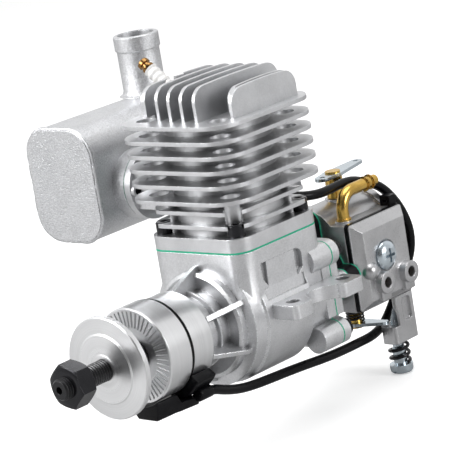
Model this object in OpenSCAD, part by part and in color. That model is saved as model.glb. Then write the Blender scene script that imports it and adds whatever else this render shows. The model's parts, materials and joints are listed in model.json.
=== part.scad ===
// Single-cylinder two-stroke petrol engine for a model aircraft, 10 cc class.
// The crankshaft runs along Y with the propeller at -Y, the cylinder stands along +Z and
// the carburettor is at +Y. The origin is the centre of the four beam-mount holes, on the
// underside of the mounting lugs, which is also the height of the crankshaft axis.

/* [Mounting lugs] */
// Distance between the holes across the crankcase
mount_spacing_x = 52; // [50:0.5:56]
// Distance between the holes along the crankshaft
mount_spacing_y = 25; // [24:0.5:27]
// Diameter of a mounting hole
mount_hole_d = 4.5; // [3:0.1:5]
// Thickness of the lugs
lug_t = 4.6; // [3.5:0.1:5.4]
// Width across both lugs
lug_w = 62.8; // [61:0.2:66]

/* [Crankcase] */
// Width of the box under the cylinder
box_w = 40.2; // [39:0.2:43]
// Front face of the box
box_front = -26.4; // [-28:0.1:-26]
// Rear face of the box and of the crankcase
case_rear = 13.8; // [13.4:0.1:15]
// Height of the cylinder joint above the crankshaft
deck_h = 23.2; // [23:0.1:26]
// Radius of the vertical corners of the box
box_corner = 6.1; // [4:0.1:7]
// Outer radius of the crank chamber
belly_r = 21.8; // [21.6:0.1:23]
// Inner radius of the crank chamber
chamber_r = 19.3; // [19.1:0.1:19.5]
// Radius of the drum in front of the box
drum_r = 17.6; // [17:0.1:18.5]
// Front face of that drum
drum_front = -29.2; // [-31:0.1:-28]
// Radius of the nose between the ribs
nose_r = 11.6; // [11.2:0.1:13]
// Shoulder where the front ring seats
ring_seat = -39.3; // [-41:0.1:-38]
// Thickness of the six nose ribs
rib_t = 1.7; // [1.2:0.1:2.4]

/* [Crankshaft] */
// Bore of the cylinder
bore = 26; // [25:0.1:26.4]
// Stroke of the piston
stroke = 19; // [17:0.5:19.5]
// Distance between the eyes of the connecting rod
rod_l = 35; // [34.5:0.1:35.5]
// Diameter of the threaded nose of the shaft
thread_d = 7; // [6:0.1:8]
// Front end of the shaft
shaft_tip = -93.2; // [-98:0.1:-92.6]
// Diameter of the front journal
journal_d = 10; // [9.6:0.1:10.4]
// Diameter of the rear journal
rear_journal_d = 15; // [14:0.1:15.6]

/* [Propeller drive] */
// Diameter of the propeller washer
washer_d = 33.1; // [30:0.1:36]
// Diameter of the drive hub
hub_d = 31.3; // [30.4:0.1:31.7]
// Length of the drive hub
hub_l = 9.9; // [9:0.1:10.4]
// Gap that the propeller is clamped in
prop_gap = 9.9; // [8:0.1:12]
// Width across the flats of the nut
nut_af = 12.8; // [10:0.1:13.4]
// Thickness of the nut
nut_t = 6.4; // [4:0.1:6.8]
// Number of serrations on the face of the hub
serrations = 48; // [24:4:60]
// Diameter of the threaded hole in the front end of the shaft
tip_hole_d = 2.5; // [2:0.1:3]
// Depth of that hole
tip_hole_l = 5; // [4:0.5:8]

/* [Cylinder] */
// Width of the wide cooling fins
fin_w = 48; // [47:0.5:52]
// Radius of the corners of the wide fins
fin_corner = 10; // [8:0.5:11]
// Thickness of a fin
fin_t = 1.3; // [1:0.1:1.6]
// Height of the top face of the highest wide fin
head_top = 65.5; // [65:0.1:68]
// Outer radius of the barrel between the fins
barrel_r = 17.3; // [16.8:0.1:18]
// Spacing of the upright fins on the head
head_fin_pitch = 6; // [5.6:0.1:6.2]
// Height of the upright fins
head_fin_h = 11.8; // [10:0.1:12.4]
// Distance from the cylinder axis to a base screw, along each side
base_screw_at = 15.5; // [15:0.1:15.8]
// Angle of the spark plug from upright
plug_tilt = 51.4; // [50:0.2:53]

/* [Muffler] */
// Width of the muffler
muffler_w = 30.4; // [28:0.1:33]
// Height of the muffler
muffler_h = 38.8; // [36:0.1:42]
// Length of the muffler
muffler_l = 62; // [60:0.5:70]
// Radius of the long corners of the muffler
muffler_corner = 10; // [7:0.5:12]
// Thickness of the muffler sheet
muffler_wall = 1.2; // [1:0.1:2]
// Outer diameter of the outlet tube
outlet_d = 14.7; // [13:0.1:16]
// Top of the outlet tube
outlet_top = 84.4; // [80:0.2:92]

/* [Carburettor] */
// Width of the carburettor body between its two cover gaskets
carb_w = 29; // [28.4:0.1:29.4]
// Length of the carburettor body
carb_l = 29.2; // [28.8:0.1:30]
// Height of the carburettor body
carb_h = 29.8; // [29.2:0.1:30.4]
// Diameter of the air bore
venturi_d = 12; // [10:0.1:13]
// Outer diameter of the fuel elbow
elbow_d = 4.1; // [3.4:0.1:4.3]
// Diameter of the idle speed screw
idle_d = 3.8; // [3.2:0.1:4]
// Lift of the idle speed screw
idle_travel = 2; // [1:0.1:2.2]

/* [Ignition sensor] */
// Diameter of the sensor lead
lead_d = 3.2; // [2.8:0.1:3.4]
// Radial clearance between the drive hub and the sensor
sensor_gap = 0.5; // [0.4:0.05:0.8]

/* [Hidden] */
$fn = 64;

// Clearances that pieces share
seat = 0.02;
slip = 0.05;
gasket_t = 0.5;
eps = 0.01;

// Crankcase, worked out
box_hw = box_w / 2;
cyl_y = (box_front + case_rear) / 2;
mount_x = mount_spacing_x / 2;
mount_y = mount_spacing_y / 2;
deck_gasket_t = 0.6;
web_front = -16.6;
web_rear = -11;
bearing_out_r = 14;
bearing_w = 7;
bearing_front = web_front - 1.2 - bearing_w;
front_bearing_r = 9.5;
front_bearing_w = 5;
ring_front = -49;
ring_r = 14.85;
front_bearing_y = ring_front + 3.6;
rear_pad_z = -1.5;
rear_screw_x = 17.5;
rear_screw_z = 13.3;
rear_boss_r = 4.4;
rear_clear = rear_screw_x + rear_boss_r + 0.5;
rear_flange_t = 3.3;
screw_r = 1.5;
cap_r = 2.8;
cap_h = 3.2;

// Shaft and propeller drive, worked out
hub_rear = ring_front - 1.2;
hub_front = hub_rear - hub_l;
washer_rear = hub_front - prop_gap;
washer_t = 3.2;
nut_rear = shaft_tip + 9.2;
crank_r = stroke / 2;
pin_r = 3.5;
rod_t = 5;
rod_front = cyl_y - rod_t / 2;
web_r = chamber_r - 1.3;

// Piston and cylinder, worked out
piston_gap = 0.04;
pin_z = rod_l - crank_r;
crown_h = 11;
piston_l = 22;
liner_bottom = chamber_r + 0.4;
liner_r = 15.4;
flange_bottom = deck_h + deck_gasket_t;
flange_top = flange_bottom + 4.4;
dome_z = rod_l + crank_r + crown_h + 1;
wide_fin_tops = [head_top, head_top - 4.9, head_top - 9.6, head_top - 14.3,
                 head_top - 19.1, head_top - 24.3];
narrow_fin_w = 38.6;
column_at = base_screw_at - 2.7;
narrow_fin_tops = [flange_top + 3.9, flange_top + 8.5];
port_z = pin_z + crown_h + 4.2;
port_h = 7.6;
duct_x = -33;
duct_hw = 9;
duct_y = -8;
exhaust_r = 11.8;
exhaust_bolt = exhaust_r - 2.5;
plug_z = head_top - 7.2;
plug_seat = 13.4;
plug_thread_r = 3.175;

// Muffler, worked out
muffler_x1 = -38.5;
muffler_x0 = muffler_x1 - muffler_w;
muffler_z0 = 24.8;
muffler_z1 = muffler_z0 + muffler_h;
muffler_y0 = -26.9;
muffler_y1 = muffler_y0 + muffler_l;
plate_t = 1.6;
outlet_x = muffler_x0 + 10.4;
outlet_y = muffler_y1 - 12.2;
outlet_r = outlet_d / 2;
collar_r = outlet_r + 0.5;
collar_h = 5;
flange_t = 2.6;

// Intake, worked out
rear_gasket_y = case_rear;
reed_y0 = case_rear + gasket_t;
reed_y1 = reed_y0 + rear_flange_t;
reed_y2 = 23.6;
insulator_y0 = reed_y2 + gasket_t;
insulator_y1 = insulator_y0 + 5.2;
carb_y0 = insulator_y1 + gasket_t;
carb_y1 = carb_y0 + carb_l;
carb_hw = carb_w / 2;
carb_z0 = -13.5;
carb_z1 = carb_z0 + carb_h;
ear_x = 15.5;
ear_r = 3.7;
bolt_x = 11.5;
lobe_z = 17;
intake_r = 13;
venturi_r = venturi_d / 2;
barrel_x = -1;
barrel_z = 9;
carb_barrel_r = 12.4;
cover_x0 = carb_hw + 1.3;
cover_t = 3.1;
throttle_x = 0;
throttle_y = 45.5;
throttle_z = 1.5;
throttle_r = 2;
idle_angle = -8;
arm_z = 29.3;
arm_t = 1.1;
stop_z = -23.4;
needle_x = 22;
needle_r = 1.5;
carb_my = (carb_y0 + carb_y1) / 2;
carb_mz = (carb_z0 + carb_z1) / 2;
metering_x = -carb_hw - 1.5;
needle_z = -5.4;
needle_y = [39.6, 52.4];
boss_r = 3.7;
pump_screw_y = carb_my - 0.8;
pump_screw_z = carb_mz + 1.4;
idle_x = 12.8;
idle_y = 50.6;
idle_block_z0 = -30;
idle_block_z1 = -23.9;
idle_head_z = -41;
idle_head_h = 3.1;
idle_head_r = 4;
idle_wire_r = 0.6;
idle_coils = 2.5;
elbow_x = 11;
elbow_y = 34.9;
elbow_z = 26;
elbow_bend = 6;
elbow_tip = 53.4;
elbow_r = elbow_d / 2;

// Sensor lead: points chosen along its way from the sensor under the crankcase, up behind
// the carburettor, over it and down behind the cylinder to the connector
LEAD = [
    [10.8, -42.4, -17.7], [10.8, -38.6, -17.9], [10.5, -34, -19.2], [10.2, -29, -20.5], [10, -24, -21.6],
    [10, -18, -22.3], [10, -11, -22.8], [10, -3, -23.3], [10, 5, -23.9], [10, 13, -24.6],
    [9.6, 21, -25.3], [9, 29, -25.8], [8.2, 36, -26.2], [7.2, 43, -26.6], [6.2, 49, -26.2],
    [5.2, 54.5, -24.6], [5.2, 59, -20.8],
    [6.4, 62.8, -15], [8.6, 65.4, -9], [10.6, 67, -2.6], [11.4, 67.2, 4], [11, 65.8, 10.4],
    [9.9, 63, 16.6], [8.2, 58.8, 22], [6.6, 52.8, 25.2], [6.2, 47.4, 27], [6.4, 41.4, 27.6],
    [7, 35, 27.6], [7.2, 28.6, 27.8], [5.8, 22.8, 28.6], [2, 18.8, 29.8], [-3.4, 17.2, 30.8],
    [-8.8, 17.8, 30.8], [-13.6, 20.2, 29.8], [-17.2, 24.6, 28], [-19.2, 30, 25.4], [-19.8, 35.2, 21.6],
    [-19.8, 39, 16.8], [-19.8, 41.4, 11.6], [-19.8, 41.4, 8.02]
];
connector = [4.6, 8.4, 9.6];

// Helpers

// Round bar along Y from y0 to y1
module ybar(r, y0, y1, x = 0, z = 0) {
    translate([x, y1, z]) rotate([90, 0, 0]) cylinder(r = r, h = y1 - y0);
}

// Round bar along X from x0 to x1
module xbar(r, x0, x1, y = 0, z = 0) {
    translate([x0, y, z]) rotate([0, 90, 0]) cylinder(r = r, h = x1 - x0);
}

// Round bar along Z from z0 to z1
module zbar(r, z0, z1, x = 0, y = 0) {
    translate([x, y, z0]) cylinder(r = r, h = z1 - z0);
}

// Outline in X and Z, given thickness along Y
module yslab(y0, y1) {
    translate([0, y1, 0]) rotate([90, 0, 0]) linear_extrude(y1 - y0) children();
}

// Profile of radius and Y, turned about the crankshaft axis
module turned_y() {
    rotate([-90, 0, 0]) rotate_extrude($fn = 96) children();
}

// Block between two corners
module block(a, b) {
    translate(a) cube(b - a);
}

// Rectangle with round corners, made of true arcs
module round_rect(x0, x1, y0, y1, r) {
    translate([x0 + r, y0]) square([x1 - x0 - 2 * r, y1 - y0]);
    translate([x0, y0 + r]) square([x1 - x0, y1 - y0 - 2 * r]);
    for (x = [x0 + r, x1 - r], y = [y0 + r, y1 - r]) translate([x, y]) circle(r);
}

// Flat plate with round corners, lying on z0
module round_plate(w, y0, y1, r, z0, z1) {
    translate([0, 0, z0]) linear_extrude(z1 - z0) round_rect(-w / 2, w / 2, y0, y1, r);
}

// Children at the four screw places round the cylinder
module at_base_screws() {
    for (x = [-1, 1], y = [-1, 1]) {
        translate([x * base_screw_at, cyl_y + y * base_screw_at, 0]) children();
    }
}

// Children at the four screw places of the rear flange, upright becoming along Y
module at_rear_screws() {
    for (x = [-1, 1], z = [-1, 1]) {
        translate([x * rear_screw_x, 0, rear_pad_z + z * rear_screw_z]) children();
    }
}

// Socket-head screw along Z, head resting on z = 0 and shank below
module cap_screw(r, h, shank_r, shank_l) {
    difference() {
        union() {
            cylinder(r = r, h = h - 0.3);
            translate([0, 0, h - 0.3]) cylinder(r1 = r, r2 = r - 0.3, h = 0.3);
            translate([0, 0, -shank_l]) cylinder(r = shank_r, h = shank_l);
        }
        translate([0, 0, h * 0.45]) cylinder(r = r * 0.52, h = h, $fn = 6);
    }
}

// Vector helpers for the swept tubes
function unit(v) = v / norm(v);
function tangent(p, i) = unit(p[min(i + 1, len(p) - 1)] - p[max(i - 1, 0)]);
function side_step(u, t) = unit(u - (u * t) * t);
function sides_of(p, i, u) = i == len(p) ? [] :
    let (s = side_step(u, tangent(p, i))) concat([s], sides_of(p, i + 1, s));

// Tube of radius r swept along points, its ends flat
module swept_tube(points, r, sides, start) {
    us = sides_of(points, 0, start);
    last = len(points) - 1;
    verts = [for (i = [0:last]) let (t = tangent(points, i), u = us[i], v = cross(t, u))
        for (k = [0:sides - 1]) points[i] + r * (cos(360 * k / sides) * u + sin(360 * k / sides) * v)];
    walls = [for (i = [0:last - 1], k = [0:sides - 1]) let (n = (k + 1) % sides)
        [i * sides + k, (i + 1) * sides + k, (i + 1) * sides + n, i * sides + n]];
    polyhedron(verts, concat(walls, [[for (k = [0:sides - 1]) k],
        [for (k = [sides - 1:-1:0]) last * sides + k]]), convexity = 10);
}

// Points of a helix standing on z0
function helix(r, z0, z1, turns, steps) =
    [for (i = [0:turns * steps]) let (a = 360 * i / steps)
        [r * cos(a), r * sin(a), z0 + (z1 - z0) * i / (turns * steps)]];

// Crankcase

// One pair of mounting lugs, on both sides of the case
module lug_outline() {
    y0 = -mount_y - 5;
    y1 = mount_y + 4.4;
    for (side = [-1, 1]) scale([side, 1]) {
        translate([box_hw - 6, y0]) square([8, y1 - y0]);
        round_rect(box_hw - 4, lug_w / 2, y0, y0 + 9.1, 2);
        round_rect(box_hw - 4, lug_w / 2, y1 - 10.7, y1, 2);
        difference() {
            translate([box_hw - 4, y0 + 3]) square([lug_w / 2 - box_hw + 1.7, y1 - y0 - 6]);
            translate([mount_x + 6, -1.2]) circle(7.6);
        }
    }
}

module lugs() {
    difference() {
        linear_extrude(lug_t) lug_outline();
        for (x = [-mount_x, mount_x], y = [-mount_y, mount_y]) {
            zbar(mount_hole_d / 2, -1, lug_t + 1, x, y);
        }
        block([-rear_clear, case_rear, -1], [rear_clear, 2 * case_rear, lug_t + 1]);
    }
}

// Rib from the front ring out to the drum, in the plane of the shaft
module nose_rib(angle) {
    rotate([0, -angle, 0]) translate([0, 0, -rib_t / 2]) linear_extrude(rib_t)
        polygon([[nose_r - 1, ring_seat], [ring_r - 0.1, ring_seat], [drum_r + 1.6, box_front - 1],
                 [drum_r + 1.6, box_front + 1.5], [nose_r - 1, box_front + 1.5]]);
}

// Turned outline of the nose and the crank chamber
module case_body() {
    turned_y() polygon([
        [0, ring_front + 0.6], [nose_r, ring_front + 0.6], [nose_r, drum_front - 4.8],
        [nose_r + 1.4, drum_front - 4.4], [nose_r + 1.4, drum_front - 3.6], [nose_r + 0.6, drum_front - 3.2],
        [nose_r + 0.6, drum_front + 0.4],
        [drum_r - 2, drum_front + 0.4], [drum_r - 1.2, drum_front], [drum_r, drum_front + 0.6],
        [drum_r, box_front], [belly_r - 0.8, box_front + 0.6], [belly_r - 0.8, box_front + 5.6],
        [belly_r, box_front + 6.2], [belly_r, case_rear - 12.2], [belly_r - 1.6, case_rear - 11],
        [belly_r - 1.6, case_rear], [0, case_rear]
    ]);
}

// Pocket in the side of the box: a bare plate between two deep slots, with a slope under it
module side_pocket(side) {
    plate = 0.5;
    translate([side * box_hw, 0, 0]) rotate([0, 90, 0]) {
        linear_extrude(3.4, center = true) polygon([[-18.4, -18.3], [-18.4, -15.1], [-9.9, -15.6], [-12.8, -17.9]]);
        linear_extrude(3.4, center = true) polygon([
            [-18.4, -1.4], [-18.2, 0], [-17.4, 1], [-16, 1.5], [-11.8, 1.2], [-9.9, -1.4]
        ]);
        linear_extrude(2 * plate, center = true) polygon([[-18.4, -15.4], [-18.4, -1.2], [-9.9, -1.2], [-9.9, -15.8]]);
    }
    yslab(-18.1, 1.1) polygon([[side * box_hw, lug_t + 1.6], [side * (box_hw - plate), 9.92],
                               [side * (box_hw + 1), 9.92], [side * (box_hw + 1), lug_t + 1.6]]);
}

// Everything that is cast, before it is bored
module case_solid() {
    case_body();
    round_plate(box_w, box_front, case_rear, box_corner, 0, deck_h);
    lugs();
    for (angle = [90, 25, -25, -90, -155, 155]) nose_rib(angle);
    at_rear_screws() ybar(rear_boss_r, 4.6, case_rear);
    yslab(case_rear - 4, case_rear) rear_outline();
}

// Lobed outline shared by the rear face, its gasket and the reed block
module rear_outline() {
    circle(belly_r - 1.6, $fn = 96);
    at_rear_lobes() circle(rear_boss_r);
    for (z = [-1, 1]) translate([0, rear_pad_z + z * rear_screw_z])
        square([2 * rear_screw_x, 2 * rear_boss_r], center = true);
    square([2 * rear_screw_x + 5, 2 * rear_screw_z - 9], center = true);
}

module at_rear_lobes() {
    for (x = [-1, 1], z = [-1, 1]) translate([x * rear_screw_x, rear_pad_z + z * rear_screw_z]) children();
}

module crankcase() {
    color([0.72, 0.73, 0.75]) difference() {
        case_solid();
        for (side = [-1, 1]) side_pocket(side);
        ybar(chamber_r, web_front - 0.9, case_rear + 1);
        ybar(bearing_out_r + seat, bearing_front, web_front, 0, 0);
        ybar(7.9, front_bearing_y + front_bearing_w, bearing_front + 1);
        ybar(front_bearing_r + seat, ring_front, front_bearing_y + front_bearing_w);
        zbar(liner_r + slip, 0, deck_h + 1, 0, cyl_y);
        at_base_screws() zbar(screw_r + seat, deck_h - 9, deck_h + 1);
        at_rear_screws() ybar(screw_r + seat, case_rear - 7, case_rear + 1);
    }
}

module front_ring() {
    color([0.86, 0.87, 0.88]) turned_y() polygon([
        [nose_r + seat, ring_seat], [nose_r + seat, ring_front + 0.58], [journal_d / 2 + 3.2, ring_front + 0.58],
        [journal_d / 2 + 3.2, ring_front], [ring_r - 0.4, ring_front], [ring_r, ring_front + 0.4],
        [ring_r, ring_seat - 0.4], [ring_r - 0.4, ring_seat]
    ]);
}

// Deep-groove bearing drawn as two races and a ball cage between them
module bearing(in_r, out_r, y0, w, n) {
    mid = (in_r + out_r) / 2;
    step = (out_r - in_r) * 0.28;
    turned_y() polygon([[in_r, y0], [in_r + step, y0], [in_r + step, y0 + w], [in_r, y0 + w]]);
    turned_y() polygon([[out_r - step, y0], [out_r, y0], [out_r, y0 + w], [out_r - step, y0 + w]]);
    difference() {
        ybar(out_r - step + eps, y0 + w * 0.3, y0 + w * 0.7);
        ybar(in_r + step - eps, y0, y0 + w);
        for (i = [0:n - 1]) rotate([0, i * 360 / n, 0]) ybar((out_r - in_r) * 0.14, y0, y0 + w, mid);
    }
}

module front_bearing() {
    color([0.6, 0.61, 0.63])
        bearing(journal_d / 2 + seat, front_bearing_r, front_bearing_y, front_bearing_w, 9);
}

module rear_bearing() {
    color([0.6, 0.61, 0.63])
        bearing(rear_journal_d / 2 + seat, bearing_out_r, bearing_front, bearing_w, 10);
}

module shaft_seal() {
    color([0.12, 0.12, 0.12]) turned_y() polygon([
        [journal_d / 2 + seat, ring_front + 1.6], [journal_d / 2 + 1, ring_front + 0.9],
        [front_bearing_r - seat, ring_front + 1.1], [front_bearing_r - seat, front_bearing_y - 0.1],
        [journal_d / 2 + 1, front_bearing_y - 0.1], [journal_d / 2 + seat, front_bearing_y - 0.9]
    ]);
}

// Crankshaft group

// Web with its counterweight opposite the crankpin
module crank_web() {
    difference() {
        ybar(web_r, web_front, web_rear);
        for (side = [-1, 1]) {
            block([min(side * 9, side * 40), web_front - 1, -40], [max(side * 9, side * 40), web_rear + 1, -1.5]);
        }
    }
}

module crankshaft() {
    tip_r = thread_d / 2;
    color([0.3, 0.3, 0.32]) difference() {
        union() {
            turned_y() polygon([
                [0, shaft_tip], [tip_r - 0.6, shaft_tip], [tip_r, shaft_tip + 0.7],
                [tip_r, hub_front - 1.5], [journal_d / 2, hub_front + 0.4],
                [journal_d / 2, bearing_front - 1.5], [rear_journal_d / 2, bearing_front - 0.8],
                [rear_journal_d / 2, web_front + 0.1], [0, web_front + 0.1]
            ]);
            crank_web();
            ybar(pin_r, web_rear - 1, rod_front - 0.4, 0, -crank_r);
        }
        ybar(tip_hole_d / 2, shaft_tip - 1, shaft_tip + tip_hole_l);
    }
}

module drive_hub() {
    r = hub_d / 2;
    knurl_in = 9.4;
    color([0.84, 0.85, 0.86]) difference() {
        turned_y() polygon([
            [journal_d / 2 + seat, hub_front + 1.2], [journal_d / 2 + 1.2, hub_front + 1.2],
            [knurl_in - 0.5, hub_front + 1.2], [knurl_in, hub_front + 0.1], [r - 0.9, hub_front + 0.1],
            [r - 0.8, hub_front], [r - 0.3, hub_front], [r, hub_front + 0.4], [r, hub_rear - 0.3],
            [r - 0.3, hub_rear], [journal_d / 2 + seat, hub_rear]
        ]);
        for (i = [0:serrations - 1]) rotate([0, i * 360 / serrations, 0])
            translate([knurl_in - 0.6, hub_front - 1, -0.36]) cube([r - knurl_in - 0.5, 1.55, 0.72]);
        rotate([0, 180, 0]) xbar(2.5, r - 3, r + 1, (hub_front + hub_rear) / 2);
    }
}

module hub_magnet() {
    r = hub_d / 2;
    color([0.5, 0.5, 0.52]) intersection() {
        rotate([0, 180, 0]) xbar(2.5 - seat, r - 3 + seat, r + 1, (hub_front + hub_rear) / 2);
        ybar(r - 0.05, hub_front, hub_rear);
    }
}

module prop_washer() {
    r = washer_d / 2;
    color([0.9, 0.9, 0.91]) turned_y() polygon([
        [thread_d / 2 + slip, washer_rear], [r - 0.3, washer_rear], [r, washer_rear - 0.3],
        [r, washer_rear - washer_t + 1.3], [r - 0.35, washer_rear - washer_t + 1.0],
        [11.4, washer_rear - washer_t + 0.35], [11.0, washer_rear - washer_t],
        [5.2, washer_rear - washer_t - 0.2], [4.4, washer_rear - washer_t - 0.5],
        [thread_d / 2 + slip, washer_rear - washer_t - 0.5]
    ]);
}

module prop_nut() {
    hex_r = nut_af / 2 / cos(30);
    nut_front = nut_rear - nut_t;
    color([0.14, 0.14, 0.15]) difference() {
        intersection() {
            rotate([0, 14, 0]) ybar(hex_r, nut_front, nut_rear, $fn = 6);
            turned_y() polygon([
                [0, nut_front], [nut_af / 2 - 0.1, nut_front], [hex_r + 0.4, nut_front + 0.9],
                [hex_r + 0.4, nut_rear - 0.9], [nut_af / 2 - 0.1, nut_rear], [0, nut_rear]
            ]);
        }
        ybar(thread_d / 2 + seat, nut_front - 1, nut_rear + 1);
    }
}

// Cylinder

module base_gasket() {
    color([0.1, 0.62, 0.42]) difference() {
        round_plate(box_w, box_front, case_rear, box_corner, deck_h, flange_bottom);
        zbar(liner_r + slip, deck_h - 1, flange_bottom + 1, 0, cyl_y);
        at_base_screws() zbar(screw_r + 0.3, deck_h - 1, flange_bottom + 1);
    }
}

// Wide fin, its top face at z
module wide_fin(z) {
    round_plate(fin_w, cyl_y - fin_w / 2, cyl_y + fin_w / 2, fin_corner, z - fin_t, z);
}

// Narrow fin between the flange and the wide fins
module narrow_fin(z) {
    round_plate(narrow_fin_w, cyl_y - narrow_fin_w / 2, cyl_y + narrow_fin_w / 2, 7, z - fin_t, z);
}

// Upright fin: straight foot, crowned top and round shoulders
module head_fin(x, y0, y1, h) {
    shoulder = 5;
    crown = 0.3;
    base = head_top - fin_t / 2;
    front = [for (a = [180:-15:90]) [y0 + shoulder + shoulder * cos(a), base + h - crown - shoulder + shoulder * sin(a)]];
    back = [for (a = [90:-15:0]) [y1 - shoulder + shoulder * cos(a), base + h - crown - shoulder + shoulder * sin(a)]];
    top = [for (i = [1:7]) let (s = i / 8) [y0 + shoulder + (y1 - y0 - 2 * shoulder) * s,
        base + h - crown + crown * 4 * s * (1 - s)]];
    translate([x - fin_t / 2, 0, 0]) rotate([90, 0, 90]) linear_extrude(fin_t)
        polygon(concat([[y0, base]], front, top, back, [[y1, base]]));
}

module head_fins() {
    front = [-10.6, -15.8, -16.2, -17.1, -17.8, -18.2, -8.6, -12.8];
    rear = [17, 20.6, 21.6, 22, 22.2, 22.2, 21, 18.4];
    lower = [1.9, 0.2, 0, 0, 0, 0, 2.2, 1.8];
    for (i = [0:7]) head_fin((i - 3.5) * head_fin_pitch - (i == 7 ? 1.8 : 0.1), cyl_y + front[i], cyl_y + rear[i],
        head_fin_h - lower[i]);
}

// Frame of the spark plug: its axis becomes Z, with z = 0 at the centre of the chamber
module plug_frame() {
    translate([0, cyl_y, plug_z]) rotate([0, -plug_tilt, 0]) children();
}

// Exhaust duct out of the barrel, ending in a flange
module exhaust_duct() {
    block([duct_x, duct_y - duct_hw, port_z - 6.4], [-8, duct_y + duct_hw, port_z + 6.4]);
    xbar(exhaust_r, duct_x, duct_x + flange_t, duct_y, port_z);
    for (y = [-1, 1]) xbar(2.3, duct_x + 1, duct_x + flange_t + 1.4, duct_y + y * exhaust_bolt, port_z);
}

module cylinder_solid() {
    round_plate(box_w, box_front, case_rear, box_corner, flange_bottom, flange_top);
    zbar(liner_r, liner_bottom, flange_top, 0, cyl_y);
    zbar(barrel_r, flange_top - 1, head_top - 0.6, 0, cyl_y);
    for (z = wide_fin_tops) wide_fin(z);
    for (z = narrow_fin_tops) narrow_fin(z);
    for (x = [-1, 1], y = [-1, 1]) zbar(2.9, flange_top - 1, wide_fin_tops[5], x * column_at, cyl_y + y * column_at);
    exhaust_duct();
    head_fins();
    plug_frame() zbar(6.2, 2, plug_seat);
}

module cylinder_block() {
    color([0.76, 0.77, 0.79]) difference() {
        cylinder_solid();
        zbar(bore / 2, liner_bottom - 1, dome_z, 0, cyl_y);
        translate([0, cyl_y, dome_z]) intersection() {
            translate([0, 0, -15]) sphere(r = 19.8, $fn = 64);
            cylinder(r = bore / 2, h = 10);
        }
        at_base_screws() {
            zbar(screw_r + seat, flange_bottom - 1, flange_top + 1);
            zbar(cap_r + 0.45, flange_top, head_top + 1);
        }
        xbar(port_h / 2 + 2.4, duct_x - 1, -6, duct_y, port_z);
        for (y = [-1, 1]) xbar(screw_r + seat, duct_x - 1, duct_x + 5, duct_y + y * exhaust_bolt, port_z);
        for (a = [90, 180, 270]) translate([0, cyl_y, pin_z + crown_h + 1.8]) rotate([0, 0, a])
            block([-15.2, -4.5, -1.8], [0, 4.5, 1.8]);
        plug_frame() {
            zbar(plug_thread_r + seat, -2, plug_seat + 1);
            zbar(6.6, plug_seat, 40);
        }
    }
}

module base_screws() {
    color([0.1, 0.1, 0.11]) at_base_screws() translate([0, 0, flange_top])
        cap_screw(cap_r, cap_h + 0.8, screw_r, flange_top - deck_h + 8);
}

// Piston group

module piston() {
    r = bore / 2 - piston_gap;
    top = pin_z + crown_h;
    color([0.78, 0.79, 0.8]) difference() {
        translate([0, cyl_y, 0]) rotate_extrude($fn = 96) polygon([
            [0, top], [r - 0.3, top], [r, top - 0.3], [r, top - 1.8], [r - 1.2, top - 1.8], [r - 1.2, top - 3],
            [r, top - 3], [r, top - piston_l], [r - 1.6, top - piston_l], [r - 1.6, top - 4.4], [0, top - 4.4]
        ]);
        ybar(3 + seat, cyl_y - bore, cyl_y + bore, 0, pin_z);
        ybar(web_r + 0.6, cyl_y - bore, web_rear + 0.6);
    }
    color([0.78, 0.79, 0.8]) for (side = [-1, 1]) difference() {
        intersection() {
            ybar(5, cyl_y + side * 7.5 - 3, cyl_y + side * 7.5 + 3, 0, pin_z);
            zbar(r - 1, pin_z - 6, pin_z + 6, 0, cyl_y);
        }
        ybar(3 + seat, cyl_y - bore, cyl_y + bore, 0, pin_z);
    }
}

module piston_ring() {
    r = bore / 2 - piston_gap;
    top = pin_z + crown_h;
    color([0.35, 0.35, 0.37]) difference() {
        zbar(r, top - 2.95, top - 1.85, 0, cyl_y);
        zbar(r - 1.15, top - 4, top, 0, cyl_y);
        block([-0.2, cyl_y + 8, top - 4], [0.2, cyl_y + 20, top]);
    }
}

module wrist_pin() {
    color([0.62, 0.63, 0.65]) difference() {
        ybar(3, cyl_y - 10.2, cyl_y + 10.2, 0, pin_z);
        ybar(1.7, cyl_y - 11, cyl_y + 11, 0, pin_z);
    }
}

module pin_circlips() {
    color([0.25, 0.25, 0.27]) for (side = [-1, 1]) difference() {
        ybar(2.98, cyl_y + side * 10.75 - 0.4, cyl_y + side * 10.75 + 0.4, 0, pin_z);
        ybar(2.2, cyl_y - 20, cyl_y + 20, 0, pin_z);
        block([-0.7, cyl_y - 20, pin_z - 5], [0.7, cyl_y + 20, pin_z]);
    }
}

module con_rod() {
    color([0.66, 0.67, 0.69]) difference() {
        union() {
            ybar(4.8, rod_front, rod_front + rod_t, 0, pin_z);
            ybar(5.6, rod_front, rod_front + rod_t, 0, -crank_r);
            yslab(rod_front + 0.6, rod_front + rod_t - 0.6)
                polygon([[-4.2, -crank_r + 3], [4.2, -crank_r + 3], [2.9, pin_z - 3], [-2.9, pin_z - 3]]);
        }
        ybar(3.6, rod_front - 1, rod_front + rod_t + 1, 0, pin_z);
        ybar(4.7, rod_front - 1, rod_front + rod_t + 1, 0, -crank_r);
        for (y = [rod_front - 0.4, rod_front + rod_t - 1.4]) yslab(y, y + 1.8)
            polygon([[-2.3, -crank_r + 8], [2.3, -crank_r + 8], [1.5, pin_z - 6.4], [-1.5, pin_z - 6.4]]);
    }
}

module small_end_bush() {
    color([0.72, 0.52, 0.24]) difference() {
        ybar(3.6 - seat, rod_front, rod_front + rod_t, 0, pin_z);
        ybar(3 + 0.03, rod_front - 1, rod_front + rod_t + 1, 0, pin_z);
    }
}

module big_end_bearing() {
    color([0.6, 0.61, 0.63]) difference() {
        ybar(4.7 - seat, rod_front, rod_front + rod_t, 0, -crank_r);
        ybar(pin_r + 0.06, rod_front - 1, rod_front + rod_t + 1, 0, -crank_r);
    }
}

// Spark plug

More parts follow.
